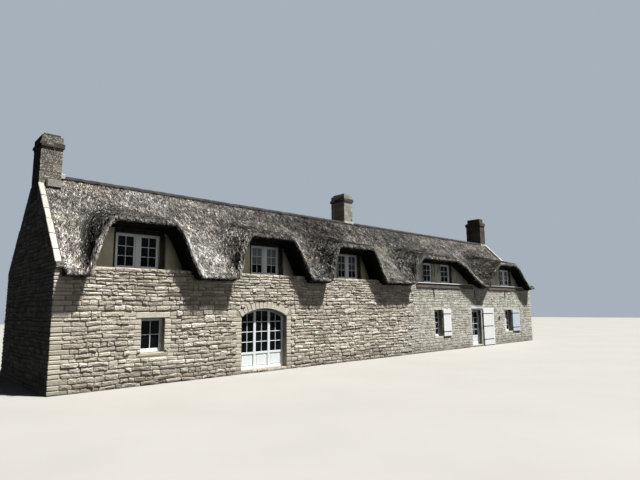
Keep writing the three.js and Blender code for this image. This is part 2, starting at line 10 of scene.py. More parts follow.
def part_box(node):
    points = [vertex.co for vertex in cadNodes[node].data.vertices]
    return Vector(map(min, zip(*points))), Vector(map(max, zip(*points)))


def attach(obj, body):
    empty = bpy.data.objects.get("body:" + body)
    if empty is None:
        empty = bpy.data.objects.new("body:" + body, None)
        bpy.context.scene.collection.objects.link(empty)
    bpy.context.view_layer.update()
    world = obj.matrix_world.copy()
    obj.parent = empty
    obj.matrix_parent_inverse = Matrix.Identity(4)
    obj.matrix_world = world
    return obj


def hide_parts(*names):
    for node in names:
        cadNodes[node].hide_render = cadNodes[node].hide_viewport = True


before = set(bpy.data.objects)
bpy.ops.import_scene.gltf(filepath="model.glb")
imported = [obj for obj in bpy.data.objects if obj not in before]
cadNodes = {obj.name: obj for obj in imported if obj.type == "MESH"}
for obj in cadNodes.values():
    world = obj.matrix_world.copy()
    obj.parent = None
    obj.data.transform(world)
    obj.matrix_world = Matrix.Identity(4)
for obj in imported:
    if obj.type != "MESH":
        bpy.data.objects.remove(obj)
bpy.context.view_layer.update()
print("frame loaded,", len(cadNodes), "nodes")

# where the walls stand, from the frame
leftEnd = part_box("gable_left")[0].x
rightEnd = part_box("gable_right")[1].x
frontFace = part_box("front_wall_left")[0].y
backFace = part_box("back_wall")[1].y
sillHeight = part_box("front_wall_left")[1].z
houseLength = rightEnd - leftEnd
houseDepth = backFace - frontFace
# the gables' slope, the height where it starts under the copings, and the top of their stones
slope, copingUnder, gableTop = 1.035, 3.3, 6.4


# the camera stands low, left of the left gable, and looks along the front
view = {
    "place": (-16.917, -16.5, 2.081), "yaw": 47.35, "pitch": 8.13, "roll": -0.59, "lens": 27.06,
    "sensor": 36, "farthest": 500,
}


def placeCamera():
    yaw, pitch, roll = (math.radians(view[k]) for k in ("yaw", "pitch", "roll"))
    ahead = Vector((math.cos(yaw) * math.cos(pitch), math.sin(yaw) * math.cos(pitch), math.sin(pitch)))
    side = Vector((math.sin(yaw), -math.cos(yaw), 0))
    up = side.cross(ahead)
    rolledSide = side * math.cos(roll) + up * math.sin(roll)
    rolledUp = up * math.cos(roll) - side * math.sin(roll)
    camera = bpy.data.objects.new("camera", bpy.data.cameras.new("camera"))
    bpy.context.collection.objects.link(camera)
    turned = Matrix((rolledSide, rolledUp, -ahead)).transposed().to_4x4()
    turned.translation = Vector(view["place"])
    camera.matrix_world = turned
    camera.data.sensor_width = view["sensor"]
    camera.data.lens = view["lens"]
    camera.data.clip_end = view["farthest"]
    bpy.context.scene.camera = camera


placeCamera()


# sRGB hex to the linear values that shaders use
def linear(hexColour):
    values = [int(hexColour[i:i + 2], 16) / 255 for i in (1, 3, 5)]
    return tuple(v / 12.92 if v <= 0.04045 else ((v + 0.055) / 1.055) ** 2.4 for v in values) + (1,)


# adds one node, and returns it or its output named in out; inputs are values or the sockets they come from,
# and stops are (place, colour) of a ramp
def addNode(material, kind, inputs=None, stops=None, out=None, **settings):
    tree = material.node_tree
    node = tree.nodes.new("ShaderNode" + kind)
    for name, value in settings.items():
        setattr(node, name, value)
    for socket, value in (inputs or {}).items():
        if isinstance(value, bpy.types.NodeSocket):
            tree.links.new(value, node.inputs[socket])
        else:
            node.inputs[socket].default_value = value
    if stops:
        ramp = node.color_ramp.elements
        while len(ramp) < len(stops):
            ramp.new(0.5)
        for element, (place, colour) in zip(ramp, stops):
            element.position = place
            element.color = linear(colour) if isinstance(colour, str) else (colour, colour, colour, 1)
    return node if out is None else node.outputs[out]


def startMaterial(name, roughness, metallic=0.0):
    material = bpy.data.materials.new(name)
    material.use_nodes = True
    material.node_tree.nodes.clear()
    shader = addNode(material, "BsdfPrincipled", {"Roughness": roughness, "Metallic": metallic})
    addNode(material, "OutputMaterial", {"Surface": shader.outputs["BSDF"]})
    return material, shader


# noise on object coordinates, its features so many millimetres wide, stretched along the axes
def noiseAt(material, millimetres, detail=3, stretch=(1, 1, 1), roughness=0.5):
    place = addNode(material, "TexCoord", out="Object")
    mapped = addNode(material, "Mapping", {"Vector": place, "Scale": stretch}, out="Vector")
    settings = {"Vector": mapped, "Scale": 1000 / millimetres, "Detail": detail, "Roughness": roughness}
    return addNode(material, "TexNoise", settings, out="Fac")


# the same noise through a ramp
def patches(material, stops, millimetres, detail, stretch=(1, 1, 1), roughness=0.5):
    value = noiseAt(material, millimetres, detail, stretch, roughness)
    return addNode(material, "ValToRGB", {"Fac": value}, stops, "Color")


# runs from low to high while the place along one axis of the house goes from start to end
def fade(material, axis, start, end, low=0.0, high=1.0):
    place = addNode(material, "TexCoord", out="Object")
    along = addNode(material, "SeparateXYZ", {"Vector": place}, out=axis)
    limits = {"Value": along, "From Min": start, "From Max": end, "To Min": low, "To Max": high}
    return addNode(material, "MapRange", limits, out="Result")


# gives the shader its ground colour with coats over it, each (share, colour, way of mixing), and bumps,
# each (height, distance in metres, strength)
def surfaced(material, shader, ground, coats=(), bumps=()):
    for share, over, way in coats:
        layers = {0: share, 6: ground, 7: over}
        ground = addNode(material, "Mix", layers, out=2, data_type="RGBA", blend_type=way)
    material.node_tree.links.new(ground, shader.inputs["Base Color"])
    below = {}
    for height, distance, strength in bumps:
        bump = {"Height": height, "Distance": distance, "Strength": strength, **below}
        below = {"Normal": addNode(material, "Bump", bump, out="Normal")}
    for name, socket in below.items():
        material.node_tree.links.new(socket, shader.inputs[name])
    return material


# the right part of the front was limewashed: a thin film all over, thicker in patches
limewash = {"film": "#e0e3de", "thick": "#dedfd8", "from": 0.4, "full": 1.8, "patch": 260}


# Granite: matt broken stone, its crystals catch the light as fine specks; each stone has its own tint
def graniteMaterial(name, look, limewashed=False):
    material, shader = startMaterial(name, look["roughness"])
    tint = addNode(material, "Attribute", out="Fac", attribute_name="tint")
    if not look["tinted"]:
        tint = noiseAt(material, look["patchSize"], 2)
    last = len(look["colours"]) - 1
    stops = [(i / last, c) for i, c in enumerate(look["colours"])]
    ground = addNode(material, "ValToRGB", {"Fac": tint}, stops, "Color")
    blotches = patches(material, [(0.35, 0.0), (0.7, look["blotch"])], look["blotchSize"], 4)
    specks = patches(material, [(0.3, 0.72), (0.5, 1.0), (0.72, 1.22)], look["grain"], 2)
    crust = patches(material, look["lichenStops"], look["lichenSize"], 5, roughness=0.7)
    rust = patches(material, look["rustStops"], look["lichenSize"] * 1.7, 4, roughness=0.65)
    coats = [(blotches, linear(look["blotchColour"]), "MIX"), (0.75, specks, "MULTIPLY"),
             (crust, linear(look["lichen"]), "MIX"), (rust, linear(look["rust"]), "MIX")]
    if limewashed:
        toRight = fade(material, "X", limewash["from"], limewash["full"])
        onFront = fade(material, "Y", frontFace + 0.2, frontFace + 0.1)
        film = addNode(material, "Math", {0: toRight, 1: onFront}, out=0, operation="MULTIPLY")
        patch = patches(material, [(0.42, 0.06), (0.6, 0.72)], limewash["patch"], 6, roughness=0.75)
        thick = addNode(material, "Math", {0: film, 1: patch}, out=0, operation="MULTIPLY")
        coats += [(film, linear(limewash["film"]), "MULTIPLY"), (thick, linear(limewash["thick"]), "MIX")]
    # dark with damp at the foot of the walls
    coats.append((fade(material, "Z", 0.0, 0.55, look["damp"], 0.0), linear("#4d463a"), "MIX"))
    coarse, fine = noiseAt(material, look["chipSize"], 3), noiseAt(material, look["grain"], 2)
    return surfaced(material, shader, ground, coats, [(coarse, 0.03, look["chips"]), (fine, 0.004, 0.6)])


rubbleLook = {
    "roughness": 0.92, "tinted": True, "patchSize": 260, "grain": 11, "chipSize": 45, "chips": 1.0,
    "colours": ["#9a9387", "#bab2a3", "#d3ccbd", "#b0a89c", "#dfd9cd", "#a8a091", "#ebe6db", "#c6bba8"],
    "blotch": 0.5, "blotchSize": 110, "blotchColour": "#857b6c", "damp": 0.45,
    "lichen": "#dcd8ca", "lichenSize": 55, "lichenStops": [(0.58, 0.0), (0.66, 0.55)],
    "rust": "#8c7a58", "rustStops": [(0.62, 0.0), (0.72, 0.5)],
}
dressedLook = dict(rubbleLook, colours=["#b9b1a1", "#cbc4b4", "#d8d2c4", "#c2baa9"], blotch=0.3,
                   blotchColour="#a0978a", chips=0.3)
copingLook = dict(dressedLook, colours=["#b3afa5", "#c6c2b8", "#d2cec5", "#bab6ac"], blotch=0.35,
                  blotchColour="#8b867b", damp=0.0)
lichenedLook = dict(
    rubbleLook, colours=["#4f4c47", "#625e58", "#726e67", "#58554f", "#817d75"],
    blotchColour="#4a443a", chips=0.2, damp=0.0, lichen="#d4d2c4", lichenSize=38,
    lichenStops=[(0.55, 0.0), (0.6, 0.9)], rust="#8d7440", rustStops=[(0.58, 0.0), (0.66, 0.6)])
weatheredLook = dict(
    lichenedLook, colours=["#88867f", "#9e9b95", "#b0ada7", "#928f89"], blotch=0.35, blotchColour="#6a6761",
    lichenStops=[(0.58, 0.0), (0.64, 0.7)], rustStops=[(0.64, 0.0), (0.7, 0.4)])
sootedLook = dict(lichenedLook, colours=["#3d3a36", "#4b4843", "#58554f", "#43413d", "#64615a"],
                  blotchColour="#35312c", lichenStops=[(0.6, 0.0), (0.66, 0.6)])
flagLook = dict(dressedLook, tinted=False, patchSize=600, colours=["#8b867b", "#9d978a", "#a9a294"])
rubbleGranite = graniteMaterial("rubbleGranite", rubbleLook, True)
dressedGranite = graniteMaterial("dressedGranite", dressedLook, True)
copingGranite = graniteMaterial("copingGranite", copingLook)
# lichened stone of the left stack; on the kneelers its darkness is painted shade
lichenAndShadeGranite = graniteMaterial("lichenAndShadeGranite", lichenedLook)
weatheredGranite = graniteMaterial("weatheredGranite", weatheredLook)
sootedGranite = graniteMaterial("sootedGranite", sootedLook)
graniteFlags = graniteMaterial("graniteFlags", flagLook)


# Lime and sand mortar: matt, gritty, darker where it holds damp, and of another grey where it was repointed
def mortarMaterial(name, pale, dark, grit, repointed=None):
    material, shader = startMaterial(name, 0.95)
    ground = patches(material, [(0.3, dark), (0.7, pale)], 240, 4)
    sand, lumps = noiseAt(material, grit, 2), noiseAt(material, 40, 4)
    grains = addNode(material, "ValToRGB", {"Fac": sand}, [(0.3, 0.75), (0.7, 1.15)], "Color")
    coats = [(0.7, grains, "MULTIPLY")]
    if repointed:
        coats.insert(0, (fade(material, "X", 0.6, 1.2), linear(repointed), "MIX"))
    return surfaced(material, shader, ground, coats, [(lumps, 0.01, 0.6), (sand, 0.003, 0.5)])


beddingMortar = mortarMaterial("beddingMortar", "#aca493", "#857d6d", 9, "#857f73")
# dark mortar: soot at the stacks, and painted shade in the beds under the copings
sootAndShadeMortar = mortarMaterial("sootAndShadeMortar", "#5b554b", "#37332d", 9)
ridgeMortar = mortarMaterial("ridgeLimeMortar", "#3d3c3a", "#201f1e", 14)
freshMortar = mortarMaterial("whiteLimeMortar", "#d9d4c8", "#a9a294", 14)


# Lime render: a floated coat, almost smooth, washed cream, stained where water runs
def renderMaterial():
    material, shader = startMaterial("creamLimeRender", 0.88)
    wash = patches(material, [(0.3, "#c6c1a4"), (0.7, "#dbd6bc")], 420, 4)
    stains = patches(material, [(0.5, 0.0), (0.75, 0.45)], 90, 5, (1, 1, 0.25))
    coats = [(stains, linear("#a69c7e"), "MIX")]
    floated, gritty = noiseAt(material, 120, 2), noiseAt(material, 8, 3)
    return surfaced(material, shader, wash, coats, [(floated, 0.01, 0.4), (gritty, 0.002, 0.4)])


creamRender = renderMaterial()


# Oil paint on softwood: satin white, the grain prints through, grey where hands and rain reach
def paintMaterial(name, pale, worn):
    material, shader = startMaterial(name, 0.42)
    wear = patches(material, [(0.55, 0.0), (0.8, 0.4)], 60, 5, alongHeight)
    grain = noiseAt(material, 7, 3, alongHeight)
    return surfaced(material, shader, linear(pale), [(wear, linear(worn), "MIX")], [(grain, 0.002, 0.35)])


alongHeight, alongFront = (1, 1, 0.08), (0.08, 1, 1)
boardPaint = paintMaterial("whiteBoardPaint", "#f6f7f7", "#dee0dd")
joineryPaint = paintMaterial("whiteJoineryPaint", "#e9eef0", "#c4c9c7")
bluePaint = paintMaterial("paleBlueShutterPaint", "#d3dce8", "#a9b2bb")


# Oak left to the weather: silver grey, open grain, dark in the cracks
def oakMaterial(name, along, pale="#8d8377", dark="#453d34"):
    material, shader = startMaterial(name, 0.85)
    grain = noiseAt(material, 16, 5, along, 0.65)
    ground = addNode(material, "ValToRGB", {"Fac": grain}, [(0.3, dark), (0.7, pale)], "Color")
    cracks = patches(material, [(0.36, 0.0), (0.46, 1.0)], 34, 3, along)
    bumps = [(grain, 0.005, 0.7), (cracks, 0.006, 0.5)]
    return surfaced(material, shader, ground, [(0.8, cracks, "MULTIPLY")], bumps)


oakBeam = oakMaterial("weatheredOakBeam", alongFront)
# dark oak for the boards beside and over the dormer windows
oakPost = oakMaterial("darkOakBoards", alongHeight, "#4d483f", "#26231e")
palePost = oakMaterial("limewashedOakPost", alongHeight, "#c9c7be", "#96938a")
oakBoards = oakMaterial("oakFloorBoards", alongFront, "#8a6a48", "#4a3524")
dormerBoards = oakMaterial("limewashedDormerBoards", alongHeight, "#c2c0b2", "#918e7e")


# Wrought iron, painted black: worn to grey on the edges, pitted
def ironMaterial():
    material, shader = startMaterial("blackWroughtIron", 0.5, 0.7)
    ground = patches(material, [(0.4, "#161514"), (0.62, "#2c2824"), (0.75, "#4a3527")], 24, 4)
    return surfaced(material, shader, ground, bumps=[(noiseAt(material, 9, 3), 0.002, 0.6)])


blackIron = ironMaterial()


# Old drawn window glass, slightly wavy, so its gloss breaks up: dark, or grey where its tint says so
def glassMaterial():
    material, shader = startMaterial("oldWindowGlass", 0.06)
    shader.inputs["IOR"].default_value = 1.52
    dark = patches(material, [(0.35, "#070909"), (0.7, "#161b1b")], 300, 3)
    grey = patches(material, [(0.35, "#8b98a6"), (0.65, "#b9c3cc")], 45, 4, (1, 1, 0.3))
    share = addNode(material, "Attribute", out="Fac", attribute_name="tint")
    waves = noiseAt(material, 160, 2)
    return surfaced(material, shader, dark, [(share, grey, "MIX")], [(waves, 0.004, 0.25)])


windowGlass = glassMaterial()


# Water reed after years of weather: grey brown, every stem catches light on its own, and painted shade makes
# it darker between stems and near black underneath
def reedMaterial():
    material, shader = startMaterial("weatheredReed", 0.9)
    straw = addNode(material, "Attribute", out="Fac", attribute_name="straw")
    stops = [(0.0, "#040403"), (0.12, "#32312f"), (0.4, "#82807c"), (0.68, "#bab8b4"), (1.0, "#f8f7f3")]
    ground = addNode(material, "ValToRGB", {"Fac": straw}, stops, "Color")
    coats = [(0.9, patches(material, [(0.32, 0.78), (0.5, 1.0), (0.7, 1.14)], 1100, 4), "MULTIPLY")]
    for size, low, high in ((34, 0.55, 1.4), (150, 0.75, 1.25)):
        speckle = patches(material, [(0.34, low), (0.5, 1.0), (0.66, high)], size, 2, (1, 0.4, 0.4))
        coats.append((0.9, speckle, "MULTIPLY"))
    for size, detail, start, hue in ((1700, 3, 0.42, "#f8f1f1"), (900, 4, 0.46, "#f4f2ea")):
        coats.append((1.0, patches(material, [(start, "#ffffff"), (0.66, hue)], size, detail), "MULTIPLY"))
    # rusty spots near the ridge
    spots = patches(material, [(0.54, 0.0), (0.68, 0.4)], 380, 5, roughness=0.7)
    nearRidge = fade(material, "Z", 5.3, 6.2)
    rusty = addNode(material, "Math", {0: nearRidge, 1: spots}, out=0, operation="MULTIPLY")
    coats.append((rusty, linear("#6e5646"), "MIX"))
    stems = noiseAt(material, 22, 4, (1, 0.12, 0.12), 0.6)
    return surfaced(material, shader, ground, coats, [(stems, 0.02, 0.8)])


weatheredReed = reedMaterial()
print("materials ready")


# Objects made from arrays: corners (n, 3), triangles (m, 3) and named values for each corner
def arrayObject(name, corners, triangles, values=None, smooth=False):
    mesh = bpy.data.meshes.new(name)
    mesh.vertices.add(len(corners))
    mesh.vertices.foreach_set("co", np.asarray(corners, np.float32).ravel())
    mesh.loops.add(3 * len(triangles))
    mesh.loops.foreach_set("vertex_index", np.asarray(triangles, np.int32).ravel())
    mesh.polygons.add(len(triangles))
    mesh.polygons.foreach_set("loop_start", np.arange(0, 3 * len(triangles), 3, dtype=np.int32))
    mesh.polygons.foreach_set("use_smooth", np.full(len(triangles), smooth))
    mesh.update(calc_edges=True)
    for key, numbers in (values or {}).items():
        mesh.attributes.new(key, "FLOAT", "POINT").data.foreach_set("value", np.asarray(numbers, np.float32))
    made = bpy.data.objects.new(name, mesh)
    bpy.context.collection.objects.link(made)
    return made


def deselectAll():
    for thing in bpy.context.selected_objects:
        thing.select_set(False)


def makeActive(piece):
    deselectAll()
    piece.select_set(True)
    bpy.context.view_layer.objects.active = piece


# edit mode on one piece, all of it selected
def openMesh(piece):
    makeActive(piece)
    bpy.ops.object.mode_set(mode="EDIT")
    bpy.ops.mesh.select_all(action="SELECT")


def closeMesh():
    bpy.ops.object.mode_set(mode="OBJECT")


# fills the open ends of a long body and turns its faces outwards
def closeEnds(piece):
    openMesh(piece)
    bpy.ops.mesh.select_mode(type="EDGE")
    bpy.ops.mesh.select_all(action="DESELECT")
    bpy.ops.mesh.select_non_manifold()
    bpy.ops.mesh.edge_face_add()
    bpy.ops.mesh.select_all(action="SELECT")
    bpy.ops.mesh.normals_make_consistent(inside=False)
    closeMesh()
    return piece


# triangles between rings of corners that follow one another
def tubeFaces(ringCount, size):
    i, j = np.meshgrid(np.arange(ringCount - 1), np.arange(size), indexing="ij")
    a = (i * size + j).ravel()
    b = (i * size + (j + 1) % size).ravel()
    return np.concatenate([np.stack([a, a + size, b], 1), np.stack([b, a + size, b + size], 1)])


# one set of triangles for each of count copies that follow one another in the corners
def repeated(triangles, count, cornerCount, first=0):
    return (triangles[None] + (first + np.arange(count) * cornerCount)[:, None, None]).reshape(-1, 3)


# gives a finished object its finish, its body and the CAD nodes that it stands for
def finishPiece(piece, material, body="house", replaced=()):
    piece.data.materials.clear()
    piece.data.materials.append(material)
    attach(piece, body)
    if replaced:
        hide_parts(*replaced)
    return piece


def coatNode(node, material):
    for slotOfNode in cadNodes[node].material_slots:
        slotOfNode.material = material


# takes a modelled template's corners and triangles, and deletes its object
def takeShape(template):
    openMesh(template)
    bpy.ops.mesh.quads_convert_to_tris()
    bpy.ops.mesh.normals_make_consistent(inside=False)
    closeMesh()
    corners = np.array([v.co for v in template.data.vertices], float)
    triangles = np.array([p.vertices for p in template.data.polygons], int)
    bpy.data.objects.remove(template)
    return corners, triangles


# a squared block of half size 1 with its edges bevelled
blockBevel = 0.1


def modelBlock():
    deselectAll()
    bpy.ops.mesh.primitive_cube_add(size=2)
    block = bpy.context.object
    openMesh(block)
    bpy.ops.mesh.bevel(offset=blockBevel, segments=1, affect="EDGES")
    closeMesh()
    return takeShape(block)


blockShape = modelBlock()


def axisBox(x0, x1, y0, y1, z0, z1):
    return ((x0 + x1) / 2, (y0 + y1) / 2, (z0 + z1) / 2), ((x1 - x0) / 2, (y1 - y0) / 2, (z1 - z0) / 2), None


# from out in front of a face to deep behind it; side is 1 on the front of the house and -1 on its back
def across(face, side, out, deep):
    return sorted((face - side * out, face + side * deep))


def facing(node):
    low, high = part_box(node)
    return (low.y, 1) if low.y < 0 else (high.y, -1)


def turnAbout(angle, axis):
    return np.array(Matrix.Rotation(angle, 3, axis))


# copies of the block at real sizes, the bevel kept the same on all of them; rough moves corners at random
def blocks(name, boxes, bevel, rough=0.0, seed=1, tints=None):
    corners, triangles = blockShape
    draw = np.random.default_rng(seed)
    centres = np.array([b[0] for b in boxes], float)
    halves = np.array([b[1] for b in boxes], float)
    turns = np.array([np.eye(3) if b[2] is None else b[2] for b in boxes], float)
    edge = np.minimum(bevel, halves.min(1) * 0.45)[:, None, None]
    inset = (1 - np.abs(corners)) / blockBevel
    local = np.sign(corners)[None] * (halves[:, None, :] - inset[None] * edge)
    local += draw.uniform(-rough, rough, local.shape)
    placed = np.einsum("nij,nkj->nki", turns, local) + centres[:, None, :]
    faces = repeated(triangles, len(boxes), len(corners))
    tints = draw.uniform(0, 1, len(boxes)) if tints is None else np.array(tints)
    return arrayObject(name, placed.reshape(-1, 3), faces, {"tint": np.repeat(tints, len(corners))})


# blocks with their finish
def lay(name, boxes, bevel, rough, seed, material, body="house", replaced=()):
    return finishPiece(blocks(name, boxes, bevel, rough, seed), material, body, replaced)


# joins iron parts into one piece of a moving body
def joinIron(name, parts, body):
    makeActive(parts[-1])
    for other in parts[:-1]:
        other.select_set(True)
    bpy.ops.object.join()
    parts[-1].name = name
    finishPiece(parts[-1], blackIron, body)


# Rubble walls. Some stones are tall, through two courses, and some are stacked, two in one course. No stretch
# ends in a stone shorter than the closer.
rubble = {
    "courseLow": 0.085, "courseHigh": 0.165, "shortStone": 0.16, "longStone": 0.62, "joint": 0.024,
    "jointFlush": 0.02, "proudLow": 0.022, "proudHigh": 0.057, "proudFlush": 0.011, "proudDressed": 0.012,
    "embed": 0.022, "jambs": (0.2, 0.34), "quoins": (0.46, 0.27), "kinds": 18, "tall": 0.04, "stacked": 0.1,
    "waver": 0.013, "ripple": 0.008, "waverFade": 0.35, "wobble": 0.005, "upright": 0.5, "level": 0.85,
    "slimmest": 4.6, "thinnest": 0.045, "shortBias": 1.6, "closer": 0.13, "sliver": 0.05, "jambRoom": 0.1,
    "tallWidest": 0.45, "tallFromStart": 0.3, "tallFromEnd": 0.6, "tallUnderSill": 0.4, "clear": 0.02,
    "stackedWide": 0.2, "stackedHigh": 0.14, "split": (0.42, 0.58), "flushEdge": 0.8,
    "jointVaries": (0.5, 1.2), "flushVaries": (0.7, 1.3), "flushTints": (0.3, 0.8), "underCoping": 0.3,
}


# one stone seen from its front: eight corners, a worn edge and a broken face; z is -1 in the bed and 1 at
# its proudest
def modelStone(seed):
    deselectAll()
    bpy.ops.mesh.primitive_cylinder_add(vertices=8, radius=1, depth=1, location=(0, 0, 0.5),
                                        end_fill_type="NGON")
    stone = bpy.context.object
    stone.data.transform(stone.matrix_world)
    stone.matrix_world = Matrix.Identity(4)
    for face in stone.data.polygons:
        face.select = face.normal.z > 0.9
    bpy.ops.object.mode_set(mode="EDIT")
    bpy.ops.mesh.select_mode(type="FACE")
    bpy.ops.mesh.inset(thickness=0.12)
    bpy.ops.mesh.poke()
    closeMesh()
    draw = random.Random(seed)
    outline = []
    for sx, sy in ((1, 1), (-1, 1), (-1, -1), (1, -1)):
        cutX, cutY = draw.uniform(0.05, 0.3), draw.uniform(0.12, 0.55)
        pair = [(sx, sy * (1 - cutY)), (sx * (1 - cutX), sy)]
        outline += pair if sx * sy > 0 else pair[::-1]
    outline = [(x + draw.uniform(-0.03, 0.03), y + draw.uniform(-0.16, 0.1)) for x, y in outline]
    for vertex in stone.data.vertices:
        x, y, z = vertex.co
        radius = math.hypot(x, y)
        if radius < 0.2:
            vertex.co = (draw.uniform(-0.4, 0.4), draw.uniform(-0.1, 0.35), 1.0)
            continue
        corner = int(((math.degrees(math.atan2(y, x)) - 10) % 360) // 45)
        px, py = outline[corner]
        if z > 0.5 and radius < 0.93:
            vertex.co = (px * draw.uniform(0.86, 0.97), py * draw.uniform(0.62, 0.9), draw.uniform(0.66, 1.0))
        elif z > 0.5:
            vertex.co = (px, py, draw.uniform(0.15, 0.6))
        else:
            vertex.co = (px, py, -1)
    return takeShape(stone)


stoneShapes = [modelStone(seed) for seed in range(rubble["kinds"])]
print("stone shapes modelled")


# stones are (kind, middle along the wall, middle height, half width, half height, proud, tint)
def stonesObject(name, stones, wall, wavering=False):
    corners, faces, tints, first = [], [], [], 0
    origin, along, normal = (np.array(wall[k], float) for k in ("origin", "along", "normal"))
    for kind, (shape, triangles) in enumerate(stoneShapes):
        mine = np.array([s[1:] for s in stones if s[0] == kind])
        if not len(mine):
            continue
        u, z, halfWidth, halfHeight, proud, tint = mine.T[:, :, None]
        out = shape[:, 2] * np.where(shape[:, 2] < 0, rubble["embed"], proud)
        placed = origin + (u + shape[:, 0] * halfWidth)[..., None] * along + out[..., None] * normal
        placed[..., 2] += z + shape[:, 1] * halfHeight
        corners.append(placed.reshape(-1, 3))
        faces.append(repeated(triangles, len(mine), len(shape), first))
        tints.append(np.repeat(tint, len(shape)))
        first += len(corners[-1])
    corners = np.concatenate(corners)
    if wavering:
        waver(corners, wall)
    return arrayObject(name, corners, np.concatenate(faces), {"tint": np.concatenate(tints)})


# course heights shared by all walls: sill height is a joint, and the gables go on above it
def courseLevels():
    draw = random.Random(11)
    levels = [0.0]
    for top in (sillHeight, gableTop):
        start = len(levels) - 1
        while levels[-1] < top:
            levels.append(levels[-1] + draw.uniform(rubble["courseLow"], rubble["courseHigh"]))
        stretch = (top - levels[start]) / (levels[-1] - levels[start])
        base = levels[start]
        levels[start:] = [base + (z - base) * stretch for z in levels[start:]]
    return levels


levels = courseLevels()


# the free stretches of a course: [start, end, bottom, top, whether nothing cuts its height]
def freeStretches(start, end, bottom, top, holes):
    cuts = {start, end}
    for hole in holes:
        if hole[2] < top and hole[3] > bottom:
            cuts.update(c for c in hole[:2] if start < c < end)
    cuts = sorted(cuts)
    stretches = []
    for a, b in zip(cuts, cuts[1:]):
        middle, low, high, whole = (a + b) / 2, bottom, top, True
        for left, right, foot, head in holes:
            if left < middle < right and foot < top and head > bottom:
                whole = False
                if foot - bottom > top - head:
                    high = min(high, foot)
                else:
                    low = max(low, head)
        last = stretches[-1] if stretches else None
        if high - low <= rubble["thinnest"]:
            continue
        if last and abs(last[1] - a) < 1e-6 and last[4] and whole:
            last[1] = b
        else:
            stretches.append([a, b, low, high, whole])
    return stretches


# courses waver a little, but run straight beside openings, at the corners and under the sills
def waver(corners, wall):
    u, z = (corners - np.array(wall["origin"])) @ np.array(wall["along"]), corners[:, 2].copy()
    left, right = wall["span"](0.0)
    away = np.minimum(np.minimum(u - left, right - u) - rubble["quoins"][0], np.abs(z - sillHeight))
    for u0, u1, z0, z1 in wall["holes"]:
        aside = np.maximum(np.maximum(u0 - u, u - u1), 0)
        above = np.maximum(np.maximum(z0 - z, z - z1), 0)
        away = np.minimum(away, np.hypot(aside, above))
    wave = np.sin(1.9 * u + 1.3 * z + wall["seed"]) + 0.6 * np.sin(4.3 * u - 2.7 * z)
    wave += 0.4 * np.sin(9.1 * u + 5 * z)
    ripple = np.sin(13 * u + 7 * z) + np.sin(23 * u - 16 * z + 1.7) + 0.7 * np.sin(37 * u + 29 * z)
    share = np.clip(away / rubble["waverFade"], 0, 1)
    corners[:, 2] += (rubble["waver"] * wave + rubble["ripple"] * ripple) * share
    corners[:, 2] = np.maximum(corners[:, 2], 0.0)


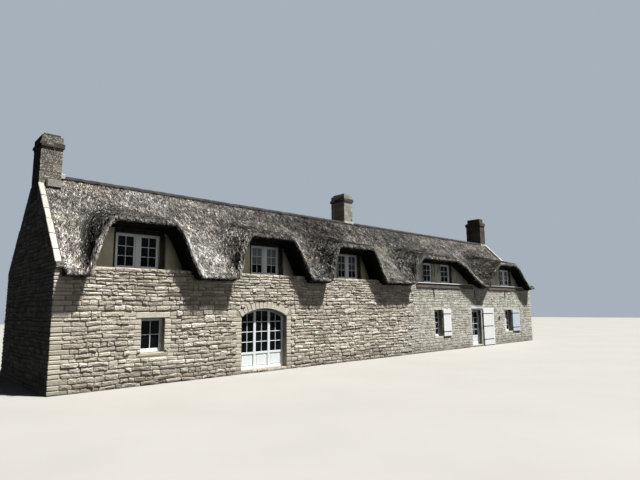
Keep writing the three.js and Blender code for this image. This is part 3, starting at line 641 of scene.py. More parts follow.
# lays one wall; holes are (start, end, bottom, top) along it
def layWall(name, wall):
    draw = random.Random(wall["seed"])
    stones, dressed, taken = [], [], []
    spread = rubble["longStone"] - rubble["shortStone"]

    def add(u0, u1, low, high, isDressed):
        middle, centre = (u0 + u1) / 2, (low + high) / 2
        flush = middle + draw.uniform(-rubble["flushEdge"], rubble["flushEdge"]) > wall["flushFrom"]
        gap = rubble["jointFlush" if flush else "joint"] * draw.uniform(*rubble["jointVaries"])
        flat = isDressed or any(l0 < middle < l1 and centre < l2 for l0, l1, l2 in wall["leaves"])
        proud = rubble["proudDressed"] if flat else draw.uniform(rubble["proudLow"], rubble["proudHigh"])
        if flush:
            proud = min(proud, rubble["proudFlush"] * draw.uniform(*rubble["flushVaries"]))
        trimmedFrom = copingUnder - rubble["underCoping"] + slope * min(middle, houseDepth - middle)
        if wall["trims"] and high > trimmedFrom:
            proud = min(proud, rubble["proudDressed"])
        if not flat:
            centre += draw.uniform(-rubble["wobble"], rubble["wobble"])
        kind = draw.randrange(rubble["kinds"])
        tint = draw.uniform(*rubble["flushTints"]) if flush else draw.random()
        halves = (u1 - u0 - gap * rubble["upright"]) / 2, (high - low - gap * rubble["level"]) / 2
        (dressed if isDressed else stones).append((kind, middle, centre, *halves, proud, tint))

    def besideHole(u, end, low, high):
        return any(abs(u - h[end]) < 0.01 and h[2] < high and h[3] > low for h in wall["holes"])

    for course, (z0, z1) in enumerate(zip(levels, levels[1:])):
        u0, u1 = wall["span"](z0)
        if u1 - u0 < 0.12 or z0 >= wall["top"] - 0.02:
            continue
        quoin = rubble["quoins"][(course + wall["turn"]) % 2] if z0 < sillHeight - 0.02 else 0.0
        startJamb, endJamb = rubble["jambs"][::-1] if course % 2 else rubble["jambs"]
        room, clear = rubble["jambRoom"], rubble["clear"]
        above = levels[min(course + 2, len(levels) - 1)]
        nextTaken = []
        for a, b, low, high, whole in freeStretches(u0 + quoin, u1 - quoin, z0, z1, wall["holes"] + taken):
            if whole and besideHole(a, 1, low, high) and b - a > startJamb + room:
                add(a, a + startJamb, low, high, True)
                a += startJamb
            if whole and besideHole(b, 0, low, high) and b - a > endJamb + room:
                add(b - endJamb, b, low, high, True)
                b -= endJamb
            u = a
            while b - u > rubble["sliver"]:
                width = rubble["shortStone"] + spread * draw.random() ** rubble["shortBias"]
                width = min(width, rubble["slimmest"] * (high - low))
                if b - u - width < rubble["closer"]:
                    width = b - u
                free = whole and z0 < sillHeight - rubble["tallUnderSill"] and width < rubble["tallWidest"]
                free = free and not any(
                    h[0] < u + width + clear and h[1] > u - clear and h[2] < above and h[3] > z1 - 0.01
                    for h in wall["holes"])
                free = free and a + rubble["tallFromStart"] < u < b - rubble["tallFromEnd"]
                large = whole and high - low > rubble["stackedHigh"] and width > rubble["stackedWide"]
                chance = draw.random()
                if free and chance < rubble["tall"]:
                    add(u, u + width, z0, above, False)
                    nextTaken.append([u, u + width, z1, above])
                elif large and chance > 1 - rubble["stacked"]:
                    split = low + (high - low) * draw.uniform(*rubble["split"])
                    add(u, u + width, low, split, False)
                    add(u, u + width, split, high, False)
                else:
                    add(u, u + width, low, high, False)
                u += width
        taken = nextTaken
    made = stonesObject(name, stones, wall, True)
    for point, direction in wall["trims"]:
        openMesh(made)
        bpy.ops.mesh.bisect(plane_co=point, plane_no=direction, use_fill=True, clear_outer=True)
        bpy.ops.mesh.select_all(action="SELECT")
        bpy.ops.mesh.quads_convert_to_tris()
        closeMesh()
    finishPiece(made, rubbleGranite)
    if dressed:
        finishPiece(stonesObject(name + "_jambs", dressed, wall), dressedGranite)
    return len(stones) + len(dressed)


# openings of the walls, from the frame: the hole is the window's or frame's own box
def holeOf(node):
    low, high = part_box(node)
    return [low.x - leftEnd, high.x - leftEnd, low.z, high.z]


frontWindows = ["window_left_small", "window_middle", "window_right"]
backWindows = ["window_back_1", "window_back_2", "window_back_3"]
surround = {
    "lintelHeight": 0.17, "lintelOver": 0.16, "sillHeight": 0.11, "sillOver": 0.1, "out": 0.01, "in": 0.12,
}
arch = {"ring": 0.25, "stones": 13, "crownRise": 0.27}


def archCurve():
    low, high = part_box("french_window")
    half = (high.x - low.x) / 2
    rise = arch["crownRise"]
    radius = (half * half + rise * rise) / (2 * rise)
    return ((low.x + high.x) / 2, high.z - radius), radius, math.asin(half / radius)


# steps that follow the outer edge of the arch stones, so that rubble fills up to them
def archHoles(steps=14):
    (cx, cz), radius, spread = archCurve()
    outer = radius + arch["ring"]
    reach = outer * math.sin(spread + 0.04)
    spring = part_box("french_window")[1].z - arch["crownRise"]
    holes = []
    for i in range(steps):
        x0, x1 = -reach + 2 * reach * i / steps, -reach + 2 * reach * (i + 1) / steps
        top = cz + math.sqrt(outer ** 2 - (abs(x0 + x1) / 2) ** 2)
        holes.append([cx + x0 - leftEnd, cx + x1 - leftEnd, spring, top])
    return holes


def windowHoles(nodes):
    holes = []
    lintel, sill = surround["lintelOver"], surround["sillOver"]
    for x0, x1, z0, z1 in map(holeOf, nodes):
        holes += [[x0, x1, z0, z1], [x0 - lintel, x1 + lintel, z1, z1 + surround["lintelHeight"]],
                  [x0 - sill, x1 + sill, z0 - surround["sillHeight"], z0]]
    return holes


doorLeft, doorRight, _, doorTop = holeOf("door_lintel")
archLeft, archRight, _, archTop = holeOf("french_window")
frontHoles = windowHoles(frontWindows) + archHoles() + [[doorLeft, doorRight, 0.0, doorTop]]
frontHoles.append([archLeft, archRight, 0.1, archTop - arch["crownRise"]])
backHoles = [[houseLength - x1, houseLength - x0, z0, z1] for x0, x1, z0, z1 in windowHoles(backWindows)]


# places along the front where open or closed leaves lie close to the wall: start, end and top
def leafZones(clearance=0.2):
    zones = []
    for node in ("boarded_door_leaf", "shutter_middle", "shutter_right"):
        left, right, _, top = holeOf(node)
        zones.append((left - (right - left) - clearance, right + clearance, top + clearance))
    return zones


def gableSpan(z):
    inset = max(0.0, (z - copingUnder) / slope)
    return inset, houseDepth - inset


def gableTrims(x):
    lean = Vector((0, -slope, 1)).normalized()
    return [((x, frontFace, copingUnder), tuple(lean)), ((x, backFace, copingUnder), (0, -lean.y, lean.z))]


# the stacks' shafts are the boxes of the chimneys without string course or ledge: left, right, front, back
shafts = {
    "chimney_left": (0.0, 0.045, 0.1, 0.1), "chimney_middle": (0.045, 0.045, 0.045, 0.045),
    "chimney_right": (0.045, 0.0, 0.045, 0.045),
}


def shaftOf(node):
    low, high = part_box(node)
    left, right, front, back = shafts[node]
    return low.x + left, high.x - right, low.y + front, high.y - back


# the gap that a gable's stack leaves in the stones, along the gable as its courses run
def stackHole(node, fromBack):
    y0, y1 = shaftOf(node)[2:]
    low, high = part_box(node)
    start, end = (backFace - y1, backFace - y0) if fromBack else (y0 - frontFace, y1 - frontFace)
    return [start, end, low.z, high.z]


# flush stones begin flushFrom along a wall, and its courses start with a long quoin where turn is 0
longWall = {
    "span": lambda z: (0.0, houseLength), "top": sillHeight, "turn": 0, "leaves": [], "trims": [],
    "flushFrom": houseLength,
}
gableWall = dict(longWall, span=gableSpan, top=gableTop, turn=1)
walls = {
    "front_stones": dict(
        longWall, seed=3, along=(1, 0, 0), origin=(leftEnd, frontFace, 0), normal=(0, -1, 0),
        holes=frontHoles, leaves=leafZones(), flushFrom=14.6),
    "back_stones": dict(
        longWall, seed=4, along=(-1, 0, 0), origin=(rightEnd, backFace, 0), normal=(0, 1, 0),
        holes=backHoles),
    "left_gable_stones": dict(
        gableWall, seed=5, along=(0, -1, 0), origin=(leftEnd, backFace, 0), normal=(-1, 0, 0),
        holes=[stackHole("chimney_left", True)], trims=gableTrims(leftEnd)),
    "right_gable_stones": dict(
        gableWall, seed=6, along=(0, 1, 0), origin=(rightEnd, frontFace, 0), normal=(1, 0, 0),
        holes=[stackHole("chimney_right", False)], trims=gableTrims(rightEnd)),
}
print("walls laid,", sum(layWall(name, wall) for name, wall in walls.items()), "stones")


# corner stones go round the corner, long and short by turns
def layQuoins():
    draw = random.Random(21)
    boxes = []
    for course, (z0, z1) in enumerate(zip(levels, levels[1:])):
        if z0 >= sillHeight - 0.02:
            break
        onFront, onGable = rubble["quoins"][::-1] if course % 2 else rubble["quoins"]
        for x, sx in ((leftEnd, 1), (rightEnd, -1)):
            for y, sy in ((frontFace, 1), (backFace, -1)):
                gap = rubble["joint"] * draw.uniform(0.3, 0.6)
                proud = draw.uniform(0.01, 0.018)
                xs, ys = across(x, sx, proud, onFront - gap), across(y, sy, proud, onGable - gap)
                boxes.append(axisBox(*xs, *ys, z0 + gap, z1 - gap))
    lay("quoins", boxes, 0.014, 0.004, 22, dressedGranite)


layQuoins()


# dressed lintels, sills and the ring of stones over the arched window
def laySurrounds(joint=0.006):
    boxes = []
    lintel, sill = surround["lintelOver"] - joint, surround["sillOver"] - joint
    for node in frontWindows + backWindows:
        low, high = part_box(node)
        face, side = (frontFace, 1) if node in frontWindows else (backFace, -1)
        ys = across(face, side, surround["out"], surround["in"])
        head = high.z + surround["lintelHeight"] - 2 * joint
        boxes.append(axisBox(low.x - lintel, high.x + lintel, *ys, high.z + 0.002, head))
        foot = low.z - surround["sillHeight"] + 0.008
        boxes.append(axisBox(low.x - sill, high.x + sill, *ys, foot, low.z - 2 * joint))
    (cx, cz), radius, spread = archCurve()
    ring = arch["ring"]
    middle = radius + ring / 2 + 0.004
    width = 2 * spread * (radius + ring * 0.45) / arch["stones"] - 2 * joint
    halves = (width / 2, surround["in"] / 2 + 0.007, ring / 2 - joint)
    for i in range(arch["stones"]):
        angle = -spread + 2 * spread * (i + 0.5) / arch["stones"]
        y = frontFace + surround["in"] / 2 - 0.007
        centre = (cx + middle * math.sin(angle), y, cz + middle * math.cos(angle))
        boxes.append((centre, halves, turnAbout(angle, "Y")))
    lay("lintels_and_sills", boxes, 0.01, 0.003, 31, dressedGranite)


laySurrounds()


# one step of granite, its nosing a little proud of the wall
def layThreshold(nosing=0.006):
    node = "door_threshold"
    low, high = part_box(node)
    step = axisBox(low.x, high.x, low.y - nosing, high.y, low.z, high.z)
    lay("worn_threshold", [step], 0.02, 0.003, 41, dressedGranite, replaced=[node])


layThreshold()
for name in cadNodes:
    if "_wall" in name or name.startswith("gable"):
        coatNode(name, beddingMortar)
print("quoins and surrounds laid")


# Thatch. Its heights are worked out in the house's own measure: x from the left gable, y from the front wall.
thatch = {
    "wallFace": 3.3, "rise": slope, "ridgeY": 2.9, "drop": 0.47, "overhang": 0.42, "lipInset": 0.37,
    "eaveLeft": 3.0, "eaveClimb": 0.17, "climbLength": 14.0, "wallHead": 3.0, "seatDrop": 0.08,
    "hoodPitch": 0.268, "rollRadius": 0.12, "crownThickening": 0.04, "thickeningFrom": 3.2,
    "thickeningRange": 0.9, "leftCurve": 2.2, "rightCurve": 0.88, "blend": 0.25,
    "start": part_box("thatch_front_1")[0].x - leftEnd, "end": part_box("thatch_front_5")[1].x - leftEnd,
    "spacing": 0.085, "rowStep": 0.11, "underPitch": 0.2, "wall": 0.6,
}
# left foot, left shoulder, right shoulder, right foot and crown of each hood
frontHoods = [
    (0.78, 1.43, 3.03, 4.03, 4.55), (5.34, 5.87, 7.49, 8.59, 4.51), (9.5, 10.08, 11.78, 12.82, 4.48),
    (14.85, 15.52, 18.1, 21.05, 4.38), (21.5, 23.3, 24.5, 26.64, 4.47),
]
backHoods = [(5.5, 6.7, 8.1, 9.3, 4.45), (17.9, 19.1, 20.5, 21.7, 4.45)]
ridgeTop = thatch["wallFace"] + thatch["rise"] * thatch["ridgeY"]
# the hand's unevenness: (size of a swell, how far it pushes)
uneven = ((0.5, 0.02), (0.16, 0.012))


def lipHeight(hoods, x):
    eave = thatch["eaveLeft"] + thatch["eaveClimb"] * np.clip(x / thatch["climbLength"], 0, 1)
    best = eave.copy()
    for leftFoot, leftShoulder, rightShoulder, rightFoot, crown in hoods:
        t = np.clip((x - leftFoot) / (leftShoulder - leftFoot), 0, 1)
        climbing = 1 - (1 - t) ** thatch["leftCurve"]
        s = np.clip((rightFoot - x) / (rightFoot - rightShoulder), 0, 1) ** thatch["rightCurve"]
        falling = s * s * (3 - 2 * s)
        best = np.maximum(best, eave + (crown - eave) * np.minimum(climbing, falling))
    return best


def rollTop(hoods, x, steps=12):
    radius = thatch["rollRadius"]
    top = np.zeros_like(x)
    for i in range(-steps, steps + 1):
        offset = radius * i / steps
        lip = lipHeight(hoods, x + offset)
        crown = np.clip((lip - thatch["thickeningFrom"]) / thatch["thickeningRange"], 0, 1)
        top = np.maximum(top, lip + thatch["crownThickening"] * crown + math.sqrt(radius ** 2 - offset ** 2))
    return top


def plainSlope(y):
    return thatch["wallFace"] + thatch["rise"] * y


def hoodTop(hoods, x, y):
    reach = 0.05 + 0.25 * (y + thatch["overhang"])
    roll = sum(rollTop(hoods, x + reach * i / 3) for i in range(-3, 4)) / 7
    return roll + thatch["hoodPitch"] * (y + thatch["lipInset"])


def thatchTop(hoods, x, y):
    hood = hoodTop(hoods, x, y)
    near = np.maximum(thatch["blend"] - np.abs(plainSlope(y) - hood), 0) / thatch["blend"]
    return np.minimum(ridgeTop, np.maximum(plainSlope(y), hood) + near * near * thatch["blend"] / 4)


def thatchUnder(hoods, x, y):
    seat = np.maximum(thatch["wallHead"], lipHeight(hoods, x) - thatch["seatDrop"])
    if y <= thatch["wall"]:
        return seat
    return np.maximum(plainSlope(y) - thatch["drop"], seat + thatch["underPitch"] * (y - thatch["wall"]))


# rows of points across the slope from (y, heights), as (row, station, 3)
def rowsOf(x, rows):
    return np.stack([np.stack([x, np.full_like(x, y), z], 1) for y, z in rows])


def unit(vectors):
    return vectors / np.linalg.norm(vectors, axis=-1, keepdims=True)


# rows of the outer skin from the lip up to the ridge
def outerSkin(hoods, x):
    lip = lipHeight(hoods, x)
    overhang, shoulder = thatch["overhang"], -0.3
    rows = [(-thatch["lipInset"], lip), (-overhang + 0.014, lip + 0.008), (-overhang, lip + 0.03)]
    crest = thatchTop(hoods, x, shoulder)
    for g in (0.3, 0.6, 0.85):
        rows.append((-overhang + 0.12 * g ** 1.3, lip + 0.03 + (crest - lip - 0.03) * g))
    y = shoulder
    while y < thatch["ridgeY"] - 0.05:
        rows.append((y, thatchTop(hoods, x, y)))
        y += thatch["rowStep"]
    rows.append((thatch["ridgeY"], np.full_like(x, ridgeTop)))
    skin = rowsOf(x, rows)
    normals = unit(np.cross(np.gradient(skin, axis=1), np.gradient(skin, axis=0)))
    for r in range(1, len(skin) - 2):
        fade = min(1, r / 4) * min(1, (len(skin) - 2 - r) / 4)
        for c in range(len(x)):
            push = sum(far * noise.noise(Vector(skin[r, c]) / size) for size, far in uneven)
            skin[r, c] += normals[r, c] * push * fade
    return skin


# closed body of one slope: the outer skin, the ridge face and the underside
def thatchBody(name, hoods, skin, x):
    under = [(thatch["ridgeY"], np.full_like(x, ridgeTop - thatch["drop"]))]
    under += [(y, thatchUnder(hoods, x, y)) for y in (2.2, 1.65, 1.15, 0.85, 0.6, 0.4, 0.2, 0.0)]
    lip = lipHeight(hoods, x)
    seat = thatchUnder(hoods, x, 0.0)
    for y in (-0.12, -0.26):
        share = -y / thatch["lipInset"]
        under.append((y, seat + (lip - seat) * share - 0.012 * math.sin(math.pi * share)))
    rings = np.concatenate([skin, rowsOf(x, under)])
    rowCount, stationCount = rings.shape[:2]
    row = np.arange(rowCount)
    # painted shade: the skin between the stems is dark (0.13), and the lip's lower edge and the underside are
    # painted near black (0)
    straw = np.tile(np.where((row > 1) & (row < len(skin)), 0.13, 0.0), stationCount)
    corners = rings.transpose(1, 0, 2).reshape(-1, 3)
    return closeEnds(arrayObject(name, corners, tubeFaces(stationCount, rowCount), {"straw": straw}, True))


# reed bundles: four-sided spikes that lie down the slope, root in the thatch, tip a little off it
reed = {
    "width": (0.011, 0.024), "length": (0.1, 0.24), "thick": (0.008, 0.018), "lift": (0.004, 0.035),
    "spread": 0.34, "sink": 0.006, "fringe": 0.32,
}


def reedSpikes(draw, roots, down, normal):
    count = len(roots)
    angle = draw.normal(0, reed["spread"], count)[:, None]
    aim = down * np.cos(angle) + unit(np.cross(down, normal)) * np.sin(angle)
    sizes = (reed[k] for k in ("width", "length", "thick", "lift"))
    width, length, thick, lift = (draw.uniform(*size, count)[:, None] for size in sizes)
    half, foot = np.cross(aim, normal) * width / 2, roots - normal * reed["sink"]
    back, tip = roots + normal * thick, roots + aim * length + normal * lift
    return np.stack([foot - half, foot + half, back, tip], 1)


spikeFaces = np.array([(0, 2, 3), (1, 3, 2), (0, 1, 2), (0, 3, 1)])


# stems lie in handfuls: waves in random directions give places a share from -1 to 1 that changes over
# the given size
def handfuls(draw, places, size):
    total = np.zeros(len(places))
    for _ in range(10):
        direction = draw.normal(0, 1, 3)
        direction *= 2 * math.pi / (size * draw.uniform(0.7, 1.6) * np.linalg.norm(direction))
        total += np.sin(places @ direction + draw.uniform(0, 6.3))
    return total / 4.5


# How pale a stem is, by place along the house. Older coats are darker, the flatter tops of the hoods stay
# damp, painted shade darkens the sides that face left and the hollows round the hoods, and painted light
# makes the eaves at the left end paler.
coat = {
    "along": (0, 1.5, 4.6, 6.2, 11.5, 13.2, 14.6, 18, 27),
    "shade": (0.27, 0.2, 0.14, 0.06, -0.06, 0.1, 0.1, 0.04, 0.03),
    "paintedSideShadeAlong": (0, 1.8, 3, 27), "paintedSideShade": (0.8, 0.8, 0.12, 0.12), "crestAlong": (8, 11, 17, 20),
    "crest": (0, 0.2, 0.2, 0.03), "damp": 0.4, "eaves": 0.2, "paintedValleyShade": 0.2, "paintedValleyShadeWidth": 0.6,
    "middle": 0.5, "scatter": 0.27, "handful": 0.1,
}


# 0 up to start, 1 from end on
def rising(values, start, end):
    return np.clip((values - start) / (end - start), 0, 1)


def spikesObject(name, shape, draw, normal=None, hoods=()):
    x, y, z = shape[:, 0].T
    straw = draw.normal(coat["middle"], coat["scatter"], len(shape))
    straw += np.interp(x, coat["along"], coat["shade"])
    for size in (0.2, 0.6):
        straw += coat["handful"] * handfuls(draw, shape[:, 0], size)
    # painted light: the left eaves and the fronts of their lobes are made paler
    straw += coat["eaves"] * rising(-z, -4.6, -3.3) * rising(-x, -6.0, -4.5)
    straw -= rising(z, 5.0, 5.6) * np.interp(x, coat["crestAlong"], coat["crest"])
    if normal is not None:
        straw -= coat["damp"] * rising(normal[:, 2], 0.84, 0.98)
        # painted shade: stems on the sides that face left, away from the key light, are made darker
        paintedSideShade = np.interp(x, coat["paintedSideShadeAlong"], coat["paintedSideShade"])
        straw -= paintedSideShade * rising(-normal[:, 0], 0.25, 0.6) * np.maximum(rising(y, -0.41, -0.31), 0.15)
        # painted shade in the hollow where a hood's top meets the plain slope
        away = np.abs(plainSlope(y) - hoodTop(hoods, x, y))
        straw -= coat["paintedValleyShade"] * rising(-away, -coat["paintedValleyShadeWidth"], 0) * rising(z, 4.1, 4.5)
    faces = repeated(spikeFaces, len(shape), 4)
    return arrayObject(name, shape.reshape(-1, 3), faces, {"straw": np.repeat(np.clip(straw, 0.05, 1), 4)})


# spikes spread over the skin between two stations, by area
def reedOverSkin(name, hoods, skin, share, count, seed):
    draw = np.random.default_rng(seed)
    stations = skin.shape[1]
    first, last = int(share[0] * (stations - 1)), int(share[1] * (stations - 1))
    alongRows, alongHouse = np.diff(skin, axis=0)[:, :-1], np.diff(skin, axis=1)[:-1]
    area = np.linalg.norm(np.cross(alongHouse, alongRows), axis=2)[:, first:last]
    cell = draw.choice(area.size, count, p=(area / area.sum()).ravel())
    r, c = cell // (last - first), cell % (last - first) + first
    fr, fc = draw.random(count)[:, None], draw.random(count)[:, None]
    near = skin[r, c] * (1 - fr) + skin[r + 1, c] * fr
    far = skin[r, c + 1] * (1 - fr) + skin[r + 1, c + 1] * fr
    up, over = unit(skin[r + 1, c] - skin[r, c]), unit(skin[r, c + 1] - skin[r, c])
    normal = unit(np.cross(over, up))
    down = -up - over * np.clip(over[:, 2:3] * 0.9, -0.55, 0.55)
    down = unit(down - normal * (down * normal).sum(1, keepdims=True))
    shape = reedSpikes(draw, near * (1 - fc) + far * fc, down, normal)
    return spikesObject(name, trimmed(hoods, shape), draw, normal, hoods)


# the thatcher's cut: no stem hangs below the lip by more than a little
def trimmed(hoods, shape):
    roots, tips = (shape[:, 0] + shape[:, 1]) / 2, shape[:, 3]
    lip = lipHeight(hoods, tips[:, 0]) - 0.012
    fall = np.maximum(roots[:, 2] - tips[:, 2], 1e-4)
    tooLow = (tips[:, 2] < lip) & (tips[:, 1] < -0.2)
    keep = np.where(tooLow, np.clip((roots[:, 2] - lip) / fall, 0.2, 1), 1.0)
    shape[:, 3] = roots + (tips - roots) * keep[:, None]
    return shape


# short ends along the lip, at the eaves and round the hoods, thicker where it climbs
def lipFringe(name, hoods, x, count, seed, step=0.02):
    draw = np.random.default_rng(seed)

    def climb(places):
        return (lipHeight(hoods, places + step) - lipHeight(hoods, places - step)) / (2 * step)

    place = draw.uniform(x[0], x[-1], count)
    place = place[draw.random(count) < np.clip(0.3 + np.abs(climb(place)) * 0.35, 0, 1)]
    count, slant = len(place), climb(place)
    deep = draw.uniform(0, 0.04, count)
    roots = np.stack([place, deep - thatch["overhang"] + 0.008, lipHeight(hoods, place) + 0.03], 1)
    out = unit(np.stack([slant, np.zeros(count), np.full(count, -1.0)], 1))
    draw.uniform(-0.25, 0.25, count)  # a spare draw, so that the ones after it stay as they are
    shape = reedSpikes(draw, roots, unit(out * 0.75 + (0, 0, -0.5)), np.tile([[0.0, -1.0, 0.0]], (count, 1)))
    shape[:, 3] = roots + (shape[:, 3] - roots) * reed["fringe"]
    return spikesObject(name, shape, draw)


def placeSlope(piece, mirrored):
    if mirrored:
        piece.data.transform(Matrix.Diagonal((1, -1, 1, 1)))
        piece.data.transform(Matrix.Translation((0, 2 * thatch["ridgeY"], 0)))
        piece.data.flip_normals()
    piece.data.transform(Matrix.Translation((leftEnd, frontFace, 0)))


# the hoods of each slope, how many runs its reed is laid in, and the spikes of one run
slopes = {"front": (frontHoods, 2, 48000), "back": (backHoods, 1, 38000)}


def layThatch():
    stationCount = int((thatch["end"] - thatch["start"]) / thatch["spacing"])
    x = np.linspace(thatch["start"], thatch["end"], stationCount)
    for side, (hoods, runs, amount) in slopes.items():
        mirrored = side == "back"
        skin = outerSkin(hoods, x)
        body = thatchBody("thatch_body_" + side, hoods, skin, x)
        pieces = [body]
        for run in range(runs):
            share = (run / runs, (run + 1) / runs)
            seed = 50 + run + 10 * mirrored
            pieces.append(reedOverSkin(f"reed_{side}_{run + 1}", hoods, skin, share, amount, seed))
        pieces.append(lipFringe("reed_fringe_" + side, hoods, x, 9000, 70 + mirrored))
        for piece in pieces:
            placeSlope(piece, mirrored)
            finishPiece(piece, weatheredReed)
        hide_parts(*[node for node in cadNodes if node.startswith("thatch_" + side)])
        print("thatch laid:", side)


layThatch()


# Ridge: a low mortar capping run over the meeting of the slopes, in short lengths as it was trowelled.
# Its side runs from the lower edge to the crown, as (y, z) from the ridge line.
ridge = {
    "unit": 0.9, "step": 0.09, "joint": 0.014, "under": (0.08, -0.14), "edgeWander": 0.012, "wander": 0.004,
    "side": [(0.125, -0.1), (0.13, -0.065), (0.09, 0.0), (0.04, 0.045)],
}


# a rounded band with an uneven lower edge on both slopes, and a joint between lengths
def layRidge():
    draw = np.random.default_rng(81)
    under, depth = ridge["under"]
    outline = [(-y, z) for y, z in ridge["side"]] + ridge["side"][::-1] + [(under, depth), (-under, depth)]
    for node in ("ridge_cap_left", "ridge_cap_right"):
        low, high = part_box(node)
        count = int((high.x - low.x) / ridge["step"])
        joint = np.where(np.arange(count) % round(ridge["unit"] / ridge["step"]) == 0, ridge["joint"], 0.0)
        rings = np.zeros((count, len(outline), 3))
        for j, (y, z) in enumerate(outline):
            wander = draw.normal(0, ridge["edgeWander" if j in (0, 1, 6, 7) else "wander"], count)
            heights = ridgeTop + z + wander * 0.5 - joint
            rings[:, j] = np.stack([np.linspace(low.x, high.x, count), y + wander * np.sign(y), heights], 1)
        faces = tubeFaces(count, len(outline))
        capping = closeEnds(arrayObject(node + "_capping", rings.reshape(-1, 3), faces, smooth=True))
        finishPiece(capping, ridgeMortar, replaced=[node])
    print("ridge laid")


layRidge()


# Copings: a run of dressed stones up each gable slope on a bed of mortar, with a kneeler at the foot
coping = {
    "stone": 0.62, "thick": 0.12, "joint": 0.011, "kneelerOut": 0.07, "kneelerIn": 0.16, "out": 0.012,
    "shy": 0.05, "bed": 0.05, "foot": 3.42, "uneven": 0.006,
}


def layCopings():
    pitch = math.atan(slope)
    run, climb = math.cos(pitch), math.sin(pitch)
    stoneHalf = coping["thick"] * run / 2
    bedHalf = (coping["thick"] - coping["bed"]) * run / 2
    footZ = coping["foot"] - slope * coping["kneelerOut"]
    kneelers, beds = [], []
    for node in [f"coping_{end}_{side}" for end in ("left", "right") for side in ("front", "back")]:
        low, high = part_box(node)
        face, sign = (frontFace, 1) if "front" in node else (backFace, -1)
        footY = face - sign * coping["kneelerOut"]
        span = abs((high.y if sign > 0 else low.y) - footY) / run
        turn = turnAbout(sign * pitch, "X")
        x0, x1 = low.x - coping["out"], high.x - coping["shy"]
        if "right" in node:
            x0, x1 = low.x + coping["shy"], high.x + coping["out"]

        def onSlope(along, down):
            return footY + sign * (along * run + down * climb), footZ + along * climb - down * run

        draw = random.Random(node)
        boxes, start = [], 0.0
        lengths = [draw.uniform(0.75, 1.25) for _ in range(round(span / coping["stone"]))]
        for length in [v * span / sum(lengths) for v in lengths]:
            centre = ((x0 + x1) / 2, *onSlope(start + length / 2, stoneHalf))
            grow = draw.uniform(0.0, coping["uneven"])
            halves = ((x1 - x0) / 2 + grow, length / 2 - coping["joint"], stoneHalf + grow)
            boxes.append((centre, halves, turn))
            start += length
        centre = ((low.x + high.x) / 2, *onSlope(span / 2, 2 * stoneHalf - bedHalf))
        beds.append((centre, ((high.x - low.x) / 2 - 0.002, span / 2 - 0.02, bedHalf), turn))
        ys = across(face, sign, coping["kneelerOut"] * 0.96, coping["kneelerIn"])
        kneelers.append(axisBox(low.x, high.x, *ys, low.z + 0.04, low.z + 0.2))
        lay(node + "_stones", boxes, 0.012, 0.004, 91, copingGranite, replaced=[node])
    # the beds' dark mortar is painted shade in the strip between the coping stones and the thatch
    lay("coping_beds", beds, 0.008, 0.0, 93, sootAndShadeMortar)
    # painted shade: the kneelers are laid in the dark stack stone
    lay("kneelers", kneelers, 0.015, 0.006, 92, lichenAndShadeGranite)
    print("copings laid")


layCopings()


# Chimney stacks: squared blocks round a core, a string course and a slab
stacks = {
    "chimney_left": {
        "foot": 5.43, "band": (7.09, 7.23), "top": 7.44, "ledge": (5.83, 6.05), "stone": lichenAndShadeGranite},
    "chimney_middle": {
        "foot": 5.2, "band": (7.39, 7.53), "top": 7.72, "ledge": (), "stone": weatheredGranite},
    "chimney_right": {
        "foot": 5.01, "band": (7.57, 7.76), "top": 7.8, "ledge": (), "stone": sootedGranite},
}
stackLook = {
    "course": 0.25, "joint": 0.006, "depth": 0.12, "proud": (0.004, 0.008), "bandOut": 0.045,
    "slabInset": 0.07, "ledgeOut": 0.105, "ledgeFrom": 0.21,
}


# blocks round a plan box between two heights; every second course is turned
def blockRing(boxes, draw, plan, z0, z1, turned, out):
    x0, x1, y0, y1 = plan
    half, depth = stackLook["joint"] / 2, stackLook["depth"]

    def split(a, b, parts):
        shifts = [0, *[draw.uniform(-0.15, 0.15) for _ in range(parts - 1)], 0]
        edges = [a + (b - a) * (i + shift) / parts for i, shift in enumerate(shifts)]
        return [(e0 + half, e1 - half) for e0, e1 in zip(edges, edges[1:])]

    xInset, yInset = (depth, -out) if turned else (-out, depth)
    for a, b in split(x0 + xInset, x1 - xInset, 1 if turned else 2):
        for ys in ((y0 - out, y0 + depth), (y1 - depth, y1 + out)):
            boxes.append(axisBox(a, b, *ys, z0 + half, z1 - half))
    for a, b in split(y0 + yInset, y1 - yInset, 3 if turned else 2):
        for xs in ((x0 - out, x0 + depth), (x1 - depth, x1 + out)):
            boxes.append(axisBox(*xs, a, b, z0 + half, z1 - half))


